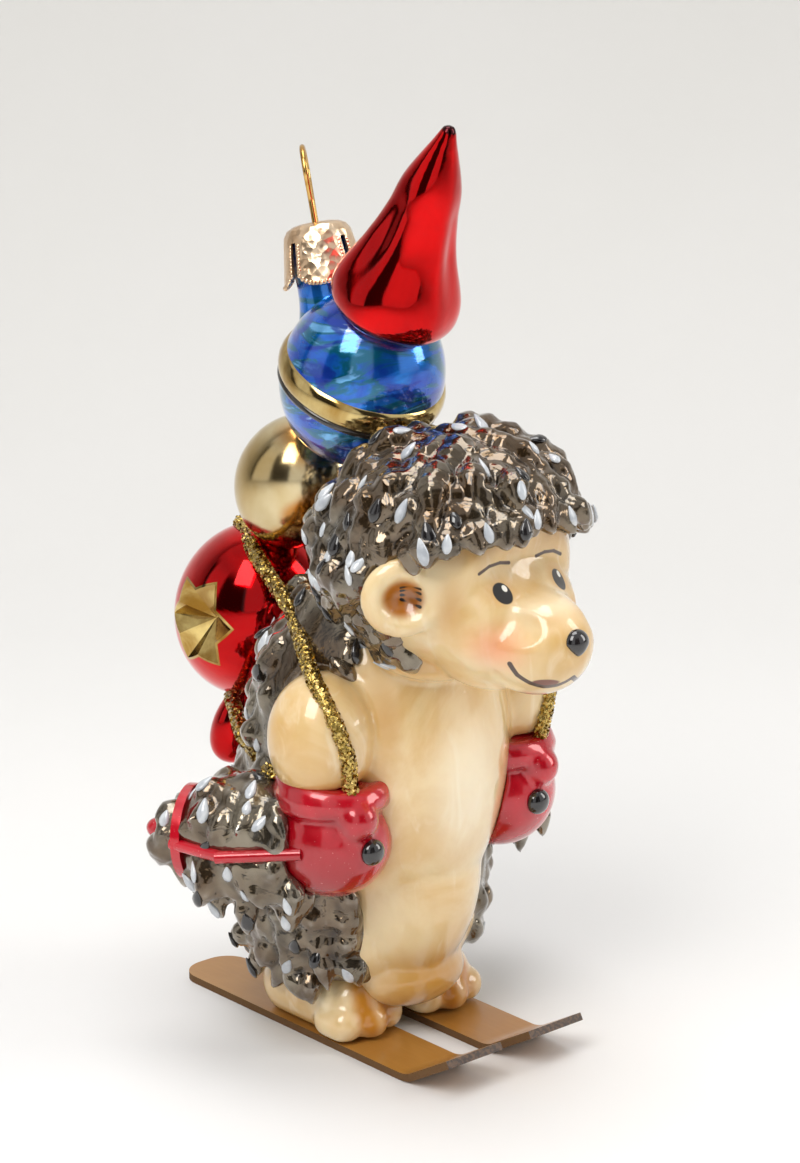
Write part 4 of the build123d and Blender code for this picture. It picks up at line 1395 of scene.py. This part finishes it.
# %% Pole points
POINT_PLACE, POINT_SCALE = (32.2, 17.3, 35.9), (0.9, 1.15, 0.85)
for side, sign in (("right", -1), ("left", 1)):
    bpy.ops.object.select_all(action="DESELECT")
    bpy.ops.mesh.primitive_uv_sphere_add(
        segments=24, ring_count=16, radius=2.0 * MM, location=on_side(sign, POINT_PLACE))
    point = bpy.context.active_object
    point.scale = POINT_SCALE
    settle(point)
    rounder = point.modifiers.new("round", "SUBSURF")
    rounder.levels = 1
    rounder.render_levels = 1
    apply_all(point)
    bpy.ops.object.shade_smooth()
    give(point, "pole_point_" + side, "figure", "red_glass", crimson)

# %% [markdown]
# ## Floor
# A pale sweep runs from under the skis, bends in a quarter circle and rises behind the figure. A brighter
# patch on the floor round the figure is a painted pool of light.

# %% Floor
SWEEP_AHEAD = Vector((0.6616, 0.7499, 0.0))
SWEEP_NEAR, SWEEP_START, SWEEP_RADIUS, SWEEP_WIDTH, SWEEP_HEIGHT = -1.6, 0.22, 0.22, 2.4, 1.5
BEND_STEPS = 12
floor_paint = Paint("pale sweep", roughness=0.6, coat=0.0)
floor_paint.ground(3.0, tint(200, 199, 197), tint(196, 195, 192))
# Painted pool of light on the floor round the figure
floor_paint.spot((-0.1, -0.15, 0.0), (0.7, 0.7, 0.2), 1.0, tint(230, 230, 230))
floor_paint.relief(floor_paint.noise(260.0), 0.0002, 0.1)
pale = floor_paint.done()
profile = [(SWEEP_NEAR, 0.0), (SWEEP_START, 0.0)]
for step in range(1, BEND_STEPS + 1):
    bend = radians(90 * step / BEND_STEPS)
    profile.append((SWEEP_START + SWEEP_RADIUS * sin(bend), SWEEP_RADIUS * (1 - cos(bend))))
profile.append((SWEEP_START + SWEEP_RADIUS, SWEEP_HEIGHT))
sideways = UP.cross(SWEEP_AHEAD)
builder = bmesh.new()
rows = []
for ahead, height in profile:
    middle = SWEEP_AHEAD * ahead + UP * height
    rows.append([builder.verts.new(middle + sideways * (side * SWEEP_WIDTH)) for side in (1, -1)])
for (first, second), (third, fourth) in zip(rows, rows[1:]):
    builder.faces.new((second, first, third, fourth))
floor = linked("sweep", mesh_from(builder, "sweep"))
bpy.ops.object.shade_smooth()
floor.data.materials.append(pale)
print("floor", len(profile), "lines")

# %% [markdown]
# ## Light
# One large soft light stands high on the left, a second fills from the right and a third hangs
# over the figure. The room round them is bright panes with dark gaps between, so that the silvered
# glass has something to mirror.

# %% Light
LIGHT_TARGET = Vector((0, 0, 0.07))


def soft_light(name, place, size, power, colour):
    """A rectangular area light that looks at the figure."""
    data = bpy.data.lights.new(name, "AREA")
    data.shape = "RECTANGLE"
    data.size, data.size_y = size
    data.energy = power
    data.color = colour
    lamp = bpy.data.objects.new(name, data)
    lamp.location = place
    lamp.rotation_euler = (LIGHT_TARGET - Vector(place)).to_track_quat("-Z", "Y").to_euler()
    bpy.context.scene.collection.objects.link(lamp)


soft_light("key", (-0.7, -0.25, 0.9), (0.5, 0.7), 7.5, (1.0, 0.98, 0.95))
soft_light("fill", (0.7, -0.65, 0.5), (0.3, 0.7), 3.5, (1.0, 0.97, 0.93))
soft_light("top", (0.05, 0.1, 1.1), (0.6, 0.6), 5.0, (1.0, 1.0, 1.0))

# %% Room
GAP_COLOUR, PANE_COLOUR, CEILING_COLOUR = (0.05, 0.045, 0.04, 1.0), (1.0, 1.0, 1.0, 1.0), (0.8, 0.8, 0.8, 1.0)
PANE_COUNT, PANE_TURN, ROOM_STRENGTH = 5.0, 0.9, 0.75
world = bpy.data.worlds.new("room")
bpy.context.scene.world = world
world.use_nodes = True
room = world.node_tree
look = room.nodes.new("ShaderNodeSeparateXYZ")
room.links.new(room.nodes.new("ShaderNodeTexCoord").outputs["Generated"], look.inputs[0])
bearing = maths(room, "ARCTAN2", look.outputs["Y"], look.outputs["X"])
panes = maths(room, "SINE", maths(room, "ADD", maths(room, "MULTIPLY", bearing, PANE_COUNT), PANE_TURN))
walls = mixed(room, between(room, panes, -0.1, 0.35), GAP_COLOUR, PANE_COLOUR)
sky = mixed(room, between(room, look.outputs["Z"], 0.55, 0.75), walls, CEILING_COLOUR)
room.links.new(sky, room.nodes["Background"].inputs["Color"])
room.nodes["Background"].inputs["Strength"].default_value = ROOM_STRENGTH
bpy.context.scene.view_settings.view_transform = "Standard"
print("room with", int(PANE_COUNT), "panes")
